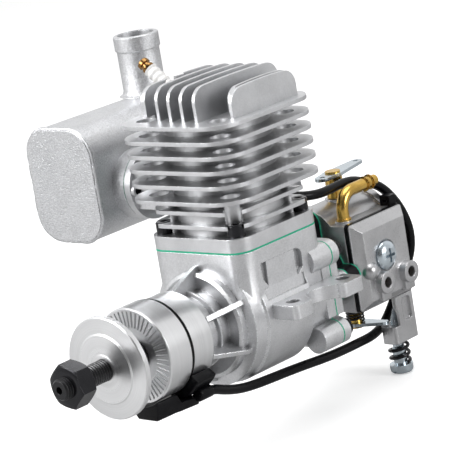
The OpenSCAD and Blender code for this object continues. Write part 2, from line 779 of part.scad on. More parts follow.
module spark_plug_shell() {
    color([0.7, 0.7, 0.71]) plug_frame() difference() {
        union() {
            zbar(plug_thread_r, plug_seat - 8.4, plug_seat);
            zbar(5.2, plug_seat, plug_seat + 1);
            translate([0, 0, plug_seat + 1]) cylinder(r = 8 / 2 / cos(30), h = 4, $fn = 6);
            zbar(3.7, plug_seat + 5, plug_seat + 6.2);
        }
        zbar(2.3, plug_seat - 9, plug_seat + 2.5);
        zbar(2.75, plug_seat + 2.5, plug_seat + 7);
    }
}

module spark_plug_insulator() {
    color([0.94, 0.92, 0.9]) plug_frame() translate([0, 0, plug_seat]) difference() {
        union() {
            zbar(1.5, -7, -2);
            zbar(2.2, -2, 2.6);
            zbar(2.65, 2.55, 8);
            rotate_extrude() polygon(concat([[0, 8]], [for (i = [0:24]) [2.25 + 0.22 * cos(i * 75), 8 + i * 0.45]], [[0, 18.8]]));
        }
        zbar(0.5, -8, 20);
    }
}

module spark_plug_terminal() {
    color([0.72, 0.5, 0.2]) plug_frame() translate([0, 0, plug_seat]) {
        zbar(0.47, -8.2, 19);
        rotate_extrude() polygon([
            [0, 18.85], [1.9, 18.85], [2.1, 19.2], [2.1, 20.2], [1.45, 20.5], [1.45, 21.2],
            [2.1, 21.5], [2.1, 22.6], [1.6, 23.1], [0, 23.1]
        ]);
        translate([0, 0, -8.9]) cylinder(r = 0.6, h = 0.8);
    }
}

// Exhaust

module exhaust_gasket() {
    color([0.5, 0.5, 0.51]) difference() {
        xbar(exhaust_r - 0.4, duct_x - gasket_t, duct_x, duct_y, port_z);
        xbar(port_h / 2 + 2.4, duct_x - 2, duct_x + 1, duct_y, port_z);
        for (y = [-1, 1]) xbar(screw_r + 0.2, duct_x - 2, duct_x + 1, duct_y + y * exhaust_bolt, port_z);
    }
}

module muffler_section(inset) {
    round_rect(muffler_x0 + inset, muffler_x1 - inset, muffler_z0 + inset, muffler_z1 - inset, muffler_corner - inset);
}

// Boss on the muffler that bolts to the exhaust flange
module muffler_boss() {
    xbar(exhaust_r - 0.2, muffler_x1 - 2.3, duct_x - gasket_t, duct_y, port_z);
}

module muffler_shell() {
    color([0.74, 0.75, 0.77]) difference() {
        union() {
            yslab(muffler_y0 + plate_t, muffler_y1 - plate_t) muffler_section(0);
            muffler_boss();
        }
        yslab(muffler_y0, muffler_y1) muffler_section(muffler_wall);
        xbar(port_h / 2 + 2.4, muffler_x1 - 5, duct_x, duct_y, port_z);
        for (y = [-1, 1]) xbar(screw_r + seat, muffler_x1 - 5, duct_x, duct_y + y * exhaust_bolt, port_z);
        zbar(outlet_r - 1, muffler_z1 - 5, muffler_z1 + 1, outlet_x, outlet_y);
    }
}

module muffler_front_plate() {
    color([0.78, 0.79, 0.8]) {
        yslab(muffler_y0, muffler_y0 + 0.5) muffler_section(0.5);
        yslab(muffler_y0 + 0.5, muffler_y0 + plate_t) muffler_section(-0.15);
    }
}

module muffler_rear_plate() {
    color([0.78, 0.79, 0.8]) {
        yslab(muffler_y1 - plate_t, muffler_y1 - 0.5) muffler_section(-0.15);
        yslab(muffler_y1 - 0.5, muffler_y1) muffler_section(0.5);
    }
}

module exhaust_outlet() {
    foot = muffler_z1;
    color([0.78, 0.79, 0.8]) translate([outlet_x, outlet_y, 0]) rotate_extrude() polygon([
        [outlet_r - 1, foot], [outlet_r + 1.6, foot], [outlet_r + 0.5, foot + 0.6], [outlet_r, foot + 1.8],
        [outlet_r, outlet_top - collar_h - 0.5], [collar_r, outlet_top - collar_h], [collar_r, outlet_top - 0.3],
        [collar_r - 0.3, outlet_top], [outlet_r - 1, outlet_top]
    ]);
}

module muffler_screws() {
    color([0.1, 0.1, 0.11]) for (y = [-1, 1])
        translate([muffler_x1 - muffler_wall, duct_y + y * exhaust_bolt, port_z]) rotate([0, -90, 0])
            cap_screw(cap_r, cap_h, screw_r, duct_x - muffler_x1 + muffler_wall + 3.6);
}

// Intake

// Outline of the intake joint: round middle, two screw ears and a lobe for the pulse passage
module intake_outline() {
    circle(intake_r);
    for (x = [-1, 1]) translate([x * ear_x, 0]) circle(ear_r);
    square([2 * ear_x, 2 * ear_r], center = true);
    translate([0, lobe_z]) circle(4.8);
    translate([-4.8, 8]) square([9.6, lobe_z - 8]);
}

// Holes through the intake joint: air, two screws and the pulse passage
module intake_holes(y0, y1) {
    ybar(venturi_r + 0.6, y0, y1, throttle_x, throttle_z);
    for (x = [-1, 1]) ybar(screw_r + 0.3, y0, y1, x * bolt_x);
    ybar(1, y0, y1, 0, lobe_z);
}

module rear_gasket() {
    color([0.1, 0.62, 0.42]) difference() {
        yslab(rear_gasket_y, reed_y0) rear_outline();
        ybar(chamber_r, rear_gasket_y - 1, reed_y0 + 1);
        at_rear_screws() ybar(screw_r + 0.3, rear_gasket_y - 1, reed_y0 + 1);
    }
}

module reed_block() {
    color([0.74, 0.75, 0.77]) difference() {
        union() {
            yslab(reed_y0, reed_y1) rear_outline();
            yslab(reed_y1 - eps, reed_y2) intake_outline();
            yslab(3.4, reed_y0) square([16, 13], center = true);
        }
        ybar(venturi_r + 0.6, 11.6, reed_y2 + 1, throttle_x, throttle_z);
        ybar(1, reed_y0 - 1, reed_y2 + 1, 0, lobe_z);
        for (x = [-1, 1]) ybar(screw_r + seat, reed_y2 - 5.4, reed_y2 + 1, x * bolt_x);
        block([-6, 5.4, -4.4], [6, 12, 6]);
        block([-9, 5.6, -3.6], [9, 11.6, 3.6]);
        at_rear_screws() ybar(screw_r + 0.3, reed_y0 - 1, reed_y1 + 1);
        zbar(1.5 + seat, 18, 24, 0, (reed_y1 + reed_y2) / 2);
    }
}

// Two petals that close the windows of the reed block, with their stop
module reed_petals() {
    color([0.2, 0.2, 0.22]) for (side = [-1, 1])
        block([min(side * 8, side * 8.5), 3.6, -5], [max(side * 8, side * 8.5), 13.5, 5]);
}

module rear_screws() {
    color([0.1, 0.1, 0.11]) at_rear_screws() translate([0, reed_y1, 0]) rotate([-90, 0, 0])
        cap_screw(cap_r, cap_h, screw_r, rear_flange_t + 5.6);
}

module pulse_nipple() {
    y = (reed_y1 + reed_y2) / 2;
    color([0.72, 0.5, 0.2]) translate([0, y, 0]) rotate_extrude($fn = 32) polygon([
        [0.6, 19.2], [1.5, 19.2], [1.5, 21.9], [2.2, 21.9], [2.2, 22.9], [1.3, 23.1], [1.3, 24.6],
        [1.7, 25], [1.3, 25.6], [1.3, 26.4], [0.6, 26.4]
    ]);
}

module insulator_gasket() {
    color([0.1, 0.62, 0.42]) difference() {
        yslab(reed_y2, insulator_y0) intake_outline();
        intake_holes(reed_y2 - 1, insulator_y0 + 1);
    }
}

module insulator() {
    color([0.08, 0.08, 0.09]) difference() {
        yslab(insulator_y0, insulator_y1) intake_outline();
        intake_holes(insulator_y0 - 1, insulator_y1 + 1);
    }
}

module carb_gasket() {
    color([0.1, 0.62, 0.42]) difference() {
        yslab(insulator_y1, carb_y0) intake_outline();
        intake_holes(insulator_y1 - 1, carb_y0 + 1);
    }
}

// Block under the body that holds the idle speed screw, with its web
module idle_block() {
    translate([idle_x, 0, 0]) {
        round_plate(6.6, idle_y - 4.2, idle_y + 8, 1.3, idle_block_z0, idle_block_z1);
        round_plate(6.6, idle_y + 3.2, idle_y + 8, 1.3, idle_block_z1 - 1, carb_z0 + 1);
    }
    block([idle_x + 2.2, idle_y - 1.2, idle_block_z1 - 1], [idle_x + 3.3, idle_y + 4, carb_z0 + 1]);
}

module carb_solid() {
    block([-carb_hw, carb_y0, carb_z0], [carb_hw, carb_y1, carb_z1]);
    ybar(carb_barrel_r, carb_y0, carb_y1, barrel_x, barrel_z);
    ybar(carb_barrel_r + 0.9, carb_y1 - 3, carb_y1, barrel_x, barrel_z);
    zbar(4, carb_z1 - 1, carb_z1 + 5.4, throttle_x, throttle_y);
    zbar(3.2, carb_z0 - 2.4, carb_z0 + 1, throttle_x, throttle_y);
    zbar(elbow_r + 0.7, carb_z1 - 1, carb_z1 + 0.7, elbow_x, elbow_y);
    idle_block();
}

module carb_body() {
    color([0.55, 0.55, 0.56]) difference() {
        carb_solid();
        ybar(venturi_r, carb_y0 - 1, carb_y1 + 1, throttle_x, throttle_z);
        ybar(venturi_r + 1.4, carb_y1 - 6, carb_y1 + 1, throttle_x, throttle_z);
        ybar(1, carb_y0 - 1, carb_y0 + 8, 0, lobe_z);
        zbar(throttle_r + slip, carb_z0 - 5, carb_z1 + 8, throttle_x, throttle_y);
        zbar(idle_d / 2 + slip, idle_block_z0 - 1, idle_block_z1 + 1, idle_x, idle_y);
        zbar(elbow_r - 0.6 + seat, carb_z1 - 4, carb_z1 + 1, elbow_x, elbow_y);
        for (x = [-1, 1]) ybar(screw_r + 0.3, carb_y0 - 1, carb_y1 + 1, x * bolt_x, 0);
        for (y = needle_y) xbar(needle_r + slip, carb_hw - 1, carb_hw + 1, y, needle_z);
        xbar(1.2, carb_hw - 1, carb_hw + 1, pump_screw_y, pump_screw_z);
        block([carb_hw, carb_y0, carb_z0 - 0.35], [carb_hw + 9, carb_y1 + 1, carb_z1]);
        translate([idle_x + 3.3, idle_y + 3.4, -19]) rotate([0, 90, 0]) linear_extrude(1.6, center = true)
            round_rect(-4, 4, -2.3, 2.3, 1.4);
    }
}

module carb_screws() {
    color([0.1, 0.1, 0.11]) for (x = [-1, 1])
        translate([x * bolt_x, carb_y1, 0]) rotate([-90, 0, 0])
            cap_screw(cap_r, cap_h, screw_r, carb_y1 - reed_y2 + 5);
}

// Cover outline in Y and Z
module cover_outline(inset) {
    round_rect(carb_y0 + 0.6 + inset, carb_y1 - 0.4 - inset, carb_z0 + inset, carb_z1 - inset, 1.2);
}

// Outline in Y and Z, given thickness along X
module xslab(x0, x1) {
    translate([x0, 0, 0]) rotate([90, 0, 90]) linear_extrude(x1 - x0) children();
}

module pump_gasket() {
    color([0.07, 0.07, 0.08]) difference() {
        xslab(carb_hw, cover_x0) cover_outline(-0.3);
        for (y = needle_y) xbar(needle_r + slip, carb_hw - 1, cover_x0 + 1, y, needle_z);
        xbar(1.3, carb_hw - 1, cover_x0 + 1, pump_screw_y, pump_screw_z);
    }
}

// Pyramid-sided cover: foot, bevel and face
module cover_shell() {
    y0 = carb_y0 + 0.6;
    y1 = carb_y1 - 0.4;
    b = cover_t;
    xslab(cover_x0, cover_x0 + 0.5) cover_outline(0);
    translate([cover_x0 + 0.45, 0, 0]) polyhedron([
        [0, y0 + 0.2, carb_z0 + 0.2], [0, y1 - 0.2, carb_z0 + 0.2], [0, y1 - 0.2, carb_z1 - 0.2], [0, y0 + 0.2, carb_z1 - 0.2],
        [b, y0 + b, carb_z0 + b], [b, y1 - b, carb_z0 + b], [b, y1 - b, carb_z1 - b], [b, y0 + b, carb_z1 - b]],
        [[0, 1, 2, 3], [7, 6, 5, 4], [0, 4, 5, 1], [1, 5, 6, 2], [2, 6, 7, 3], [3, 7, 4, 0]]);
}

module pump_cover() {
    color([0.6, 0.6, 0.61]) difference() {
        union() {
            cover_shell();
            for (y = needle_y) {
                xbar(boss_r, cover_x0 + 1, needle_x, y, needle_z);
                block([cover_x0 + 1, y - 2.4, needle_z - 6], [needle_x - 1.4, y + 2.4, needle_z]);
            }
            translate([cover_x0 + cover_t - 0.6, carb_y0 + 5.4, -0.4]) sphere(r = 3.1);
        }
        block([-50, 0, -40], [cover_x0, 100, 40]);
        for (y = needle_y) xbar(1.85, carb_hw, needle_x + 1, y, needle_z);
        xbar(1.4, carb_hw - 1, cover_x0 + 9, pump_screw_y, pump_screw_z);
        xbar(5.35, cover_x0 + cover_t - 0.1, cover_x0 + 9, pump_screw_y, pump_screw_z);
    }
}

module pump_cover_screw() {
    x = cover_x0 + cover_t - 0.1;
    color([0.66, 0.7, 0.74]) translate([x, pump_screw_y, pump_screw_z]) rotate([0, 90, 0]) difference() {
        union() {
            rotate_extrude() polygon([[0, 0], [4.9, 0], [5, 0.4], [4.75, 1.2], [3.8, 2], [2.4, 2.5], [0, 2.7]]);
            translate([0, 0, carb_hw - 0.9 - x]) cylinder(r = 1.15, h = x - carb_hw + 1);
        }
        for (a = [45, 135]) rotate([0, 0, a]) translate([-2.4, -0.5, 1]) cube([4.8, 1, 3]);
    }
}

module metering_cover() {
    color([0.6, 0.6, 0.61]) difference() {
        union() {
            xslab(metering_x, -carb_hw) cover_outline(0.2);
            xbar(9.2, metering_x - 1.2, -carb_hw, carb_my, carb_mz);
        }
        xbar(0.8, metering_x - 2, -carb_hw - 0.6, carb_my, carb_mz);
        at_metering_screws() xbar(1.02, metering_x - 2, -carb_hw + 1);
    }
}

module at_metering_screws() {
    for (y = [carb_y0 + 3.6, carb_y1 - 3.4], z = [carb_z0 + 3, carb_z1 - 3]) translate([0, y, z]) children();
}

module metering_screws() {
    color([0.66, 0.7, 0.74]) at_metering_screws() {
        xbar(2, metering_x - 1.1, metering_x);
        xbar(1, metering_x - 0.1, -carb_hw - 0.02);
    }
}

// Slotted mixture screw, turning about X in the cover boss
module mixture_needle(y) {
    color([0.72, 0.5, 0.2]) difference() {
        xbar(needle_r, carb_hw - 0.8, needle_x - 2.2, y, needle_z);
        block([needle_x - 2.9, y - 0.3, needle_z - 2], [needle_x - 2, y + 0.3, needle_z + 2]);
    }
}

module low_needle() {
    mixture_needle(needle_y[0]);
}

module high_needle() {
    mixture_needle(needle_y[1]);
}

module fuel_elbow() {
    z0 = carb_z1 + 0.7;
    color([0.78, 0.58, 0.22]) {
        zbar(elbow_r - 0.6, carb_z1 - 3, z0 + 1, elbow_x, elbow_y);
        zbar(elbow_r + 0.5, z0, z0 + 0.7, elbow_x, elbow_y);
        zbar(elbow_r, z0 + 0.6, elbow_z - elbow_bend, elbow_x, elbow_y);
        translate([elbow_x, elbow_y + elbow_bend, elbow_z - elbow_bend]) rotate([0, -90, 180])
            rotate_extrude(angle = 90) translate([elbow_bend, 0]) circle(elbow_r, $fn = 32);
        ybar(elbow_r, elbow_y + elbow_bend, elbow_tip - 2.6, elbow_x, elbow_z);
        ybar(elbow_r - 0.25, elbow_tip - 3, elbow_tip, elbow_x, elbow_z);
        for (y = [elbow_tip - 5.8, elbow_tip - 3]) translate([elbow_x, y, elbow_z]) rotate([-90, 0, 0])
            rotate_extrude($fn = 32) polygon([[0, 0], [elbow_r + 0.55, 0], [elbow_r + 0.55, 0.25], [elbow_r - 0.1, 1.2], [0, 1.2]]);
    }
}

// Throttle group

module throttle_shaft() {
    color([0.72, 0.5, 0.2]) translate([throttle_x, throttle_y, 0]) difference() {
        union() {
            zbar(throttle_r, stop_z, arm_z + arm_t);
            zbar(3, carb_z1 + 5.6, arm_z);
            zbar(2.6, arm_z + arm_t, arm_z + arm_t + 0.6);
            zbar(2.9, stop_z - 0.7, stop_z);
            zbar(2.2, stop_z + arm_t, stop_z + arm_t + 5);
        }
        rotate([0, 0, idle_angle])
            block([-3, -0.32, throttle_z - venturi_r - 0.4], [3, 0.32, throttle_z + venturi_r + 0.4]);
    }
}

module throttle_plate() {
    color([0.75, 0.6, 0.3]) translate([throttle_x, throttle_y, throttle_z]) rotate([0, 0, idle_angle])
        ybar(venturi_r - 0.35, -0.3, 0.3);
}

// Flat lever: two round ends joined by straight sides, with a hole for the link
module lever(l, r0, r1, t, hole_r) {
    inset = 0.06;
    difference() {
        linear_extrude(t) {
            circle(r0);
            translate([l, 0]) circle(r1);
            polygon([[0, r0 - inset], [l, r1 - inset], [l, inset - r1], [0, inset - r0]]);
        }
        if (hole_r > 0) translate([l, 0, -1]) cylinder(r = hole_r, h = t + 2, $fn = 32);
    }
}

module throttle_arm() {
    color([0.72, 0.75, 0.78]) translate([throttle_x, throttle_y, arm_z]) difference() {
        union() {
            rotate([0, 0, 98]) lever(15.4, 3.6, 2.2, arm_t, 1);
            rotate([0, 0, -82]) lever(6.6, 3.4, 2.6, arm_t, 1);
        }
        translate([0, 0, -1]) cylinder(r = throttle_r + seat, h = arm_t + 2);
    }
}

module stop_arm() {
    angle = atan2(idle_y - throttle_y - 2.2, idle_x - throttle_x - 0.9);
    color([0.72, 0.75, 0.78]) translate([throttle_x, throttle_y, stop_z]) difference() {
        union() {
            rotate([0, 0, angle]) lever(10.6, 3.6, 1.5, arm_t, 0);
            rotate([0, 0, angle + 180]) lever(4.4, 3.4, 1.6, arm_t, 0.6);
        }
        translate([0, 0, -1]) cylinder(r = throttle_r + seat, h = arm_t + 2);
    }
}

module throttle_spring() {
    z0 = stop_z + arm_t + 0.5;
    z1 = carb_z0 - 2.9;
    color([0.3, 0.31, 0.33]) translate([throttle_x, throttle_y, 0])
        swept_tube(helix(2.88, z0, z1, 5, 16), 0.33, 6, [0, 0, 1]);
}

// Idle speed screw

module idle_screw() {
    color([0.7, 0.73, 0.76]) translate([idle_x, idle_y, 0]) difference() {
        union() {
            zbar(idle_d / 2, idle_head_z + idle_head_h - 0.1, idle_block_z1);
            zbar(idle_d / 2 + 0.4, idle_head_z + idle_head_h - 0.1, idle_block_z0 - idle_travel - 0.2);
            translate([0, 0, idle_head_z]) rotate_extrude() polygon([
                [0, 0], [idle_head_r - 1.5, 0], [idle_head_r - 0.6, 0.25], [idle_head_r - 0.15, 0.75],
                [idle_head_r, 1.4], [idle_head_r, idle_head_h], [0, idle_head_h]
            ]);
            translate([0, 0, idle_block_z1 - 0.02]) cylinder(r1 = idle_d / 2, r2 = 0.25, h = 5.2);
        }
        block([-0.5, -5, idle_head_z - 1], [0.5, 5, idle_head_z + 1.2]);
    }
}

module idle_spring() {
    z0 = idle_head_z + idle_head_h + idle_wire_r + 0.05;
    z1 = idle_block_z0 - idle_wire_r - 0.05;
    color([0.3, 0.31, 0.33]) translate([idle_x, idle_y, 0])
        swept_tube(helix(idle_head_r - 0.75, z0, z1, idle_coils, 16), idle_wire_r, 6, [0, 0, 1]);
}

// Ignition sensor

// Moulded block under the drive hub, hollowed to clear it
module sensor_housing() {
    r_in = hub_d / 2 + sensor_gap;
    color([0.09, 0.09, 0.1]) difference() {
        union() {
            yslab(-65.2, ring_front + 1.4) polygon([
                [-3.5, -13], [-2.4, -17.6], [-0.6, -18.6], [6.4, -20], [8, -19.6], [11.6, -15.8], [12.6, -13.4], [11, -9]
            ]);
            yslab(hub_rear - 0.2, ring_seat - 0.4) polygon([
                [2, -14], [3, -17.2], [7, -18.2], [12.4, -17], [15.6, -12.4], [11, -9]
            ]);
            ybar(lead_d / 2 + 0.9, ring_front - 1, LEAD[0][1] + 1.2, LEAD[0][0], LEAD[0][2]);
        }
        ybar(r_in, -70, ring_front - 0.2);
        ybar(ring_r + 0.1, ring_front - 0.3, ring_seat + 2);
        ybar(lead_d / 2 + 0.3, LEAD[0][1] - 0.2, ring_seat + 2, LEAD[0][0], LEAD[0][2]);
    }
}

// Strap that grips the front ring beside the sensor
module sensor_clamp() {
    color([0.12, 0.12, 0.13]) difference() {
        intersection() {
            ybar(ring_r + 3, ring_front + 0.6, ring_seat - 0.8);
            yslab(ring_front, ring_seat) polygon([[0, 0], [40, -14], [40, -29.5]]);
        }
        ybar(ring_r + 0.1, ring_front - 1, ring_seat + 2);
    }
}

module lead_clip() {
    color([0.1, 0.1, 0.11]) difference() {
        block([10.3, carb_y1 - 3.6, carb_z1], [14.4, carb_y1 - 0.2, carb_z1 + 3.4]);
        block([11.6, carb_y1 - 4, carb_z1 + 1.2], [13.2, carb_y1, carb_z1 + 2]);
    }
}

module sensor_lead() {
    color([0.08, 0.08, 0.09]) swept_tube(LEAD, lead_d / 2, 8, [1, 0, 0]);
}

module lead_connector() {
    end = LEAD[len(LEAD) - 1];
    color([0.1, 0.1, 0.11]) translate([end[0], end[1], end[2] - seat]) difference() {
        block([-connector[0] / 2, -connector[1] / 2, -connector[2]], [connector[0] / 2, connector[1] / 2, 0]);
        for (i = [-1:1]) block([-0.5, i * 2.4 - 0.5, -connector[2] - 1], [0.5, i * 2.4 + 0.5, -connector[2] + 5]);
    }
}

crankcase();
front_ring();
front_bearing();
rear_bearing();
shaft_seal();
crankshaft();
drive_hub();
hub_magnet();
prop_washer();
prop_nut();
base_gasket();
cylinder_block();  // cylinder
base_screws();
piston();
piston_ring();
wrist_pin();
pin_circlips();
con_rod();
small_end_bush();
big_end_bearing();
spark_plug_shell();
spark_plug_insulator();
spark_plug_terminal();
exhaust_gasket();
muffler_shell();
muffler_front_plate();
muffler_rear_plate();
exhaust_outlet();
muffler_screws();
rear_gasket();
reed_block();
reed_petals();
rear_screws();
pulse_nipple();
insulator_gasket();
insulator();
carb_gasket();
carb_body();
carb_screws();
pump_gasket();
pump_cover();
pump_cover_screw();
metering_cover();
metering_screws();
low_needle();
high_needle();
fuel_elbow();
throttle_shaft();
throttle_plate();
throttle_arm();
stop_arm();
throttle_spring();
idle_screw();
idle_spring();
sensor_housing();
sensor_clamp();
lead_clip();
sensor_lead();
lead_connector();
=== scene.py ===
"""Looks for a model aircraft petrol engine: finishes, fine shapes, lamps and camera."""

from __future__ import annotations

import json
import logging
import math
import random
from dataclasses import dataclass
from enum import Enum
from typing import Iterable, Optional, Union
import bmesh
import bpy
from mathutils import Matrix, Vector

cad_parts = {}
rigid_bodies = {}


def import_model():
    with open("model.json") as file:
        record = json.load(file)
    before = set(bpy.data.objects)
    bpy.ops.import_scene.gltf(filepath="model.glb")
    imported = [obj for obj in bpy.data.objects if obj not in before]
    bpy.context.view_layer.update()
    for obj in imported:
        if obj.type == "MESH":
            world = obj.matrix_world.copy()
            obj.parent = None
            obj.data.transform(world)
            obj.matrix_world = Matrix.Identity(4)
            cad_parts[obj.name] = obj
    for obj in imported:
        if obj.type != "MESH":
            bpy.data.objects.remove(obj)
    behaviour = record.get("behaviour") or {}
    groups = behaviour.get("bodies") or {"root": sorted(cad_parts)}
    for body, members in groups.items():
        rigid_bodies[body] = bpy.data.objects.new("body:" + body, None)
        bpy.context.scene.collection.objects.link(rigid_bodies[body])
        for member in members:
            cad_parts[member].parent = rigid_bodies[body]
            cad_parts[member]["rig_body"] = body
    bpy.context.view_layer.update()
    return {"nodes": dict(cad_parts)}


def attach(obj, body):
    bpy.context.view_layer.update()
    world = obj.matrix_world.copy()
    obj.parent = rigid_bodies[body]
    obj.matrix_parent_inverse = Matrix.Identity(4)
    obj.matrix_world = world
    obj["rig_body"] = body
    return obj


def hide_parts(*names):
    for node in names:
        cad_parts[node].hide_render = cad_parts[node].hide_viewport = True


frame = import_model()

logging.basicConfig(level=logging.INFO, format="%(message)s")
log = logging.getLogger("engine")

MM = 0.001
SEAM = 0.002 * MM  # vertices of a solid that are nearer than this are one
TOUCH = 0.0001 * MM  # the same for a swept bar
FLAT = math.radians(2)  # faces that meet at less than this are joined before rounding
Color = tuple[float, float, float]
Point = tuple[float, float, float]
Input = Union[float, Color, "Wire"]


class Slot(Enum):
    """Material slots of the record."""

    CAST = "cast_aluminium"
    TURNED = "turned_aluminium"
    CARB = "carb_zinc"
    BLACK_STEEL = "black_steel"
    BRIGHT_STEEL = "bright_steel"
    ZINC = "zinc_steel"
    BRASS = "brass"
    GASKET = "green_gasket"
    RUBBER = "black_rubber"
    PLASTIC = "black_plastic"
    CERAMIC = "ceramic"


# Shader maths


class Wire:
    """An output of a shader node. Arithmetic on it adds Math nodes."""

    def __init__(self, sheet: "NodeSheet", socket: bpy.types.NodeSocket) -> None:
        """Wrap a socket.

        Args:
            sheet: The node tree that the socket is in.
            socket: The output.
        """
        self.sheet = sheet
        self.socket = socket

    def _math(self, operation: str, first: Input, second: Input) -> "Wire":
        """Add one Math node of two inputs."""
        return self.sheet.node("ShaderNodeMath", {"operation": operation}, {0: first, 1: second})

    def __add__(self, other: Input) -> "Wire":
        """Sum."""
        return self._math("ADD", self, other)

    def __radd__(self, other: Input) -> "Wire":
        """Sum, this one on the right."""
        return self._math("ADD", other, self)

    def __sub__(self, other: Input) -> "Wire":
        """Difference."""
        return self._math("SUBTRACT", self, other)

    def __rsub__(self, other: Input) -> "Wire":
        """Difference, this one on the right."""
        return self._math("SUBTRACT", other, self)

    def __mul__(self, other: Input) -> "Wire":
        """Product."""
        return self._math("MULTIPLY", self, other)

    def __rmul__(self, other: Input) -> "Wire":
        """Product, this one on the right."""
        return self._math("MULTIPLY", other, self)

    def __truediv__(self, other: Input) -> "Wire":
        """Quotient."""
        return self._math("DIVIDE", self, other)

    def __rtruediv__(self, other: Input) -> "Wire":
        """Quotient, this one on the right."""
        return self._math("DIVIDE", other, self)

    def __pow__(self, other: Input) -> "Wire":
        """Power."""
        return self._math("POWER", self, other)

    def __rpow__(self, other: Input) -> "Wire":
        """Power, this one as the exponent."""
        return self._math("POWER", other, self)

    def span(self, low: float, high: float, to_low: float = 0.0, to_high: float = 1.0) -> "Wire":
        """Map a range to another, and hold it at its ends.

        Args:
            low: Start of the range.
            high: End of the range.
            to_low: Result at its start.
            to_high: Result at its end.

        Returns:
            The mapped value.
        """
        return self.sheet.node("ShaderNodeMapRange", {"clamp": True},
                               {0: self, 1: low, 2: high, 3: to_low, 4: to_high})

    def held(self, low: float, high: float) -> "Wire":
        """The same value, held between two ends."""
        return self.span(low, high, low, high)


class NodeSheet:
    """A node tree with one method that adds any node."""

    BEVEL_SAMPLES = 4
    HOLLOW_SAMPLES = 8
    FLAT_COSINE = 0.995
    EDGE_COSINE = 0.86

    def __init__(self, tree: bpy.types.NodeTree) -> None:
        """Start with an empty tree.

        Args:
            tree: The node tree of a material or world.
        """
        self.tree = tree
        self.tree.nodes.clear()

    def node(self, kind: str, settings: Optional[dict] = None, inputs: Optional[dict] = None,
             output: Union[int, str] = 0) -> Wire:
        """Add a node.

        Args:
            kind: The node's type.
            settings: Its properties, set before its inputs.
            inputs: Values or wires, by socket name or number.
            output: The output to return.

        Returns:
            One output of the new node.
        """
        made = self.tree.nodes.new(kind)
        for key, value in (settings or {}).items():
            setattr(made, key, value)
        for key, value in (inputs or {}).items():
            if isinstance(value, Wire):
                self.tree.links.new(value.socket, made.inputs[key])
            elif isinstance(value, tuple) and made.inputs[key].type == "RGBA":
                made.inputs[key].default_value = (*value, 1.0)
            else:
                made.inputs[key].default_value = value
        return Wire(self, made.outputs[output])

    def place(self) -> Wire:
        """Object coordinates."""
        return self.node("ShaderNodeTexCoord", output="Object")

    def axes(self, place: Wire) -> tuple[Wire, Wire, Wire]:
        """Split a vector into X, Y and Z.

        Args:
            place: The vector.

        Returns:
            Its three parts.
        """
        made = self.node("ShaderNodeSeparateXYZ", inputs={0: place})
        outputs = made.socket.node.outputs
        return Wire(self, outputs[0]), Wire(self, outputs[1]), Wire(self, outputs[2])

    def stretch(self, place: Wire, scale: Point) -> Wire:
        """Scale coordinates by axis."""
        return self.node("ShaderNodeVectorMath", {"operation": "MULTIPLY"}, {0: place, 1: scale})

    def noise(self, place: Wire, size: float, detail: float = 3.0, roughness: float = 0.55) -> Wire:
        """Noise of a real size.

        Args:
            place: Coordinates in metres.
            size: Size of a feature, in metres.
            detail: Octaves.
            roughness: Strength of the finer octaves.

        Returns:
            A value round 0.5.
        """
        return self.node("ShaderNodeTexNoise", {"noise_dimensions": "3D"},
                         {"Vector": place, "Scale": 1.0 / size, "Detail": detail, "Roughness": roughness})

    def mix(self, factor: Input, first: Input, second: Input) -> Wire:
        """Mix two colours."""
        return self.node("ShaderNodeMix", {"data_type": "RGBA", "clamp_factor": True},
                         {0: factor, 6: first, 7: second}, output=2)

    def dot(self, first: Wire, second: Union[Wire, Point]) -> Wire:
        """Dot product of two vectors."""
        return self.node("ShaderNodeVectorMath", {"operation": "DOT_PRODUCT"}, {0: first, 1: second},
                         output="Value")

    def edge_wear_and_highlight(self, radius: float) -> tuple[Wire, Wire]:
        """Soft edges for hard-edged solids.

        Args:
            radius: Radius of the rounding, in metres.

        Returns:
            The softened normal, and a mask that is 1 along the edges, which lightens edges as rubbed metal
            and as a painted highlight.
        """
        soft = self.node("ShaderNodeBevel", {"samples": self.BEVEL_SAMPLES}, {"Radius": radius})
        hard = self.node("ShaderNodeNewGeometry", output="Normal")
        cosine = self.dot(soft, hard)
        return soft, cosine.span(self.FLAT_COSINE, self.EDGE_COSINE)

    def painted_hollow_shade(self, distance: float) -> Wire:
        """A mask of painted shade: 1 deep between neighbouring walls, where shade falls, and 0 in the open.

        Args:
            distance: How far walls count, in metres.

        Returns:
            The mask.
        """
        open_air = self.node("ShaderNodeAmbientOcclusion", {"samples": self.HOLLOW_SAMPLES},
                             {"Distance": distance}, output="AO")
        return 1.0 - open_air

    def bump(self, height: Wire, distance: float, normal: Optional[Wire] = None) -> Wire:
        """Turn a height into a normal.

        Args:
            height: The height, from 0 to 1.
            distance: What a height of 1 stands for, in metres.
            normal: The normal that it is added to, where it isn't the surface's own.

        Returns:
            The normal.
        """
        inputs: dict = {"Height": height, "Distance": distance, "Strength": 1.0}
        if normal is not None:
            inputs["Normal"] = normal
        return self.node("ShaderNodeBump", {}, inputs)

    def surface(self, **sockets: Input) -> None:
        """Finish a material with one Principled shader.

        Args:
            **sockets: Its inputs, with underscores for spaces.
        """
        names = {key.replace("_", " "): value for key, value in sockets.items()}
        shader = self.node("ShaderNodeBsdfPrincipled", {}, names)
        out = self.tree.nodes.new("ShaderNodeOutputMaterial")
        self.tree.links.new(shader.socket, out.inputs["Surface"])


# Finishes


class Finish:
    """A material that is made once and shared."""

    name: str

    def dress(self, sheet: NodeSheet) -> None:
        """Add the nodes."""
        raise NotImplementedError

    def material(self) -> bpy.types.Material:
        """Make the material at its first use.

        Returns:
            The material, the same for every piece that has it.
        """
        known = bpy.data.materials.get(self.name)
        if known is not None:
            return known
        made = bpy.data.materials.new(self.name)
        made.use_nodes = True
        self.dress(NodeSheet(made.node_tree))
        return made


def grey(level: float) -> Color:
    """A grey of one brightness."""
    return level, level, level


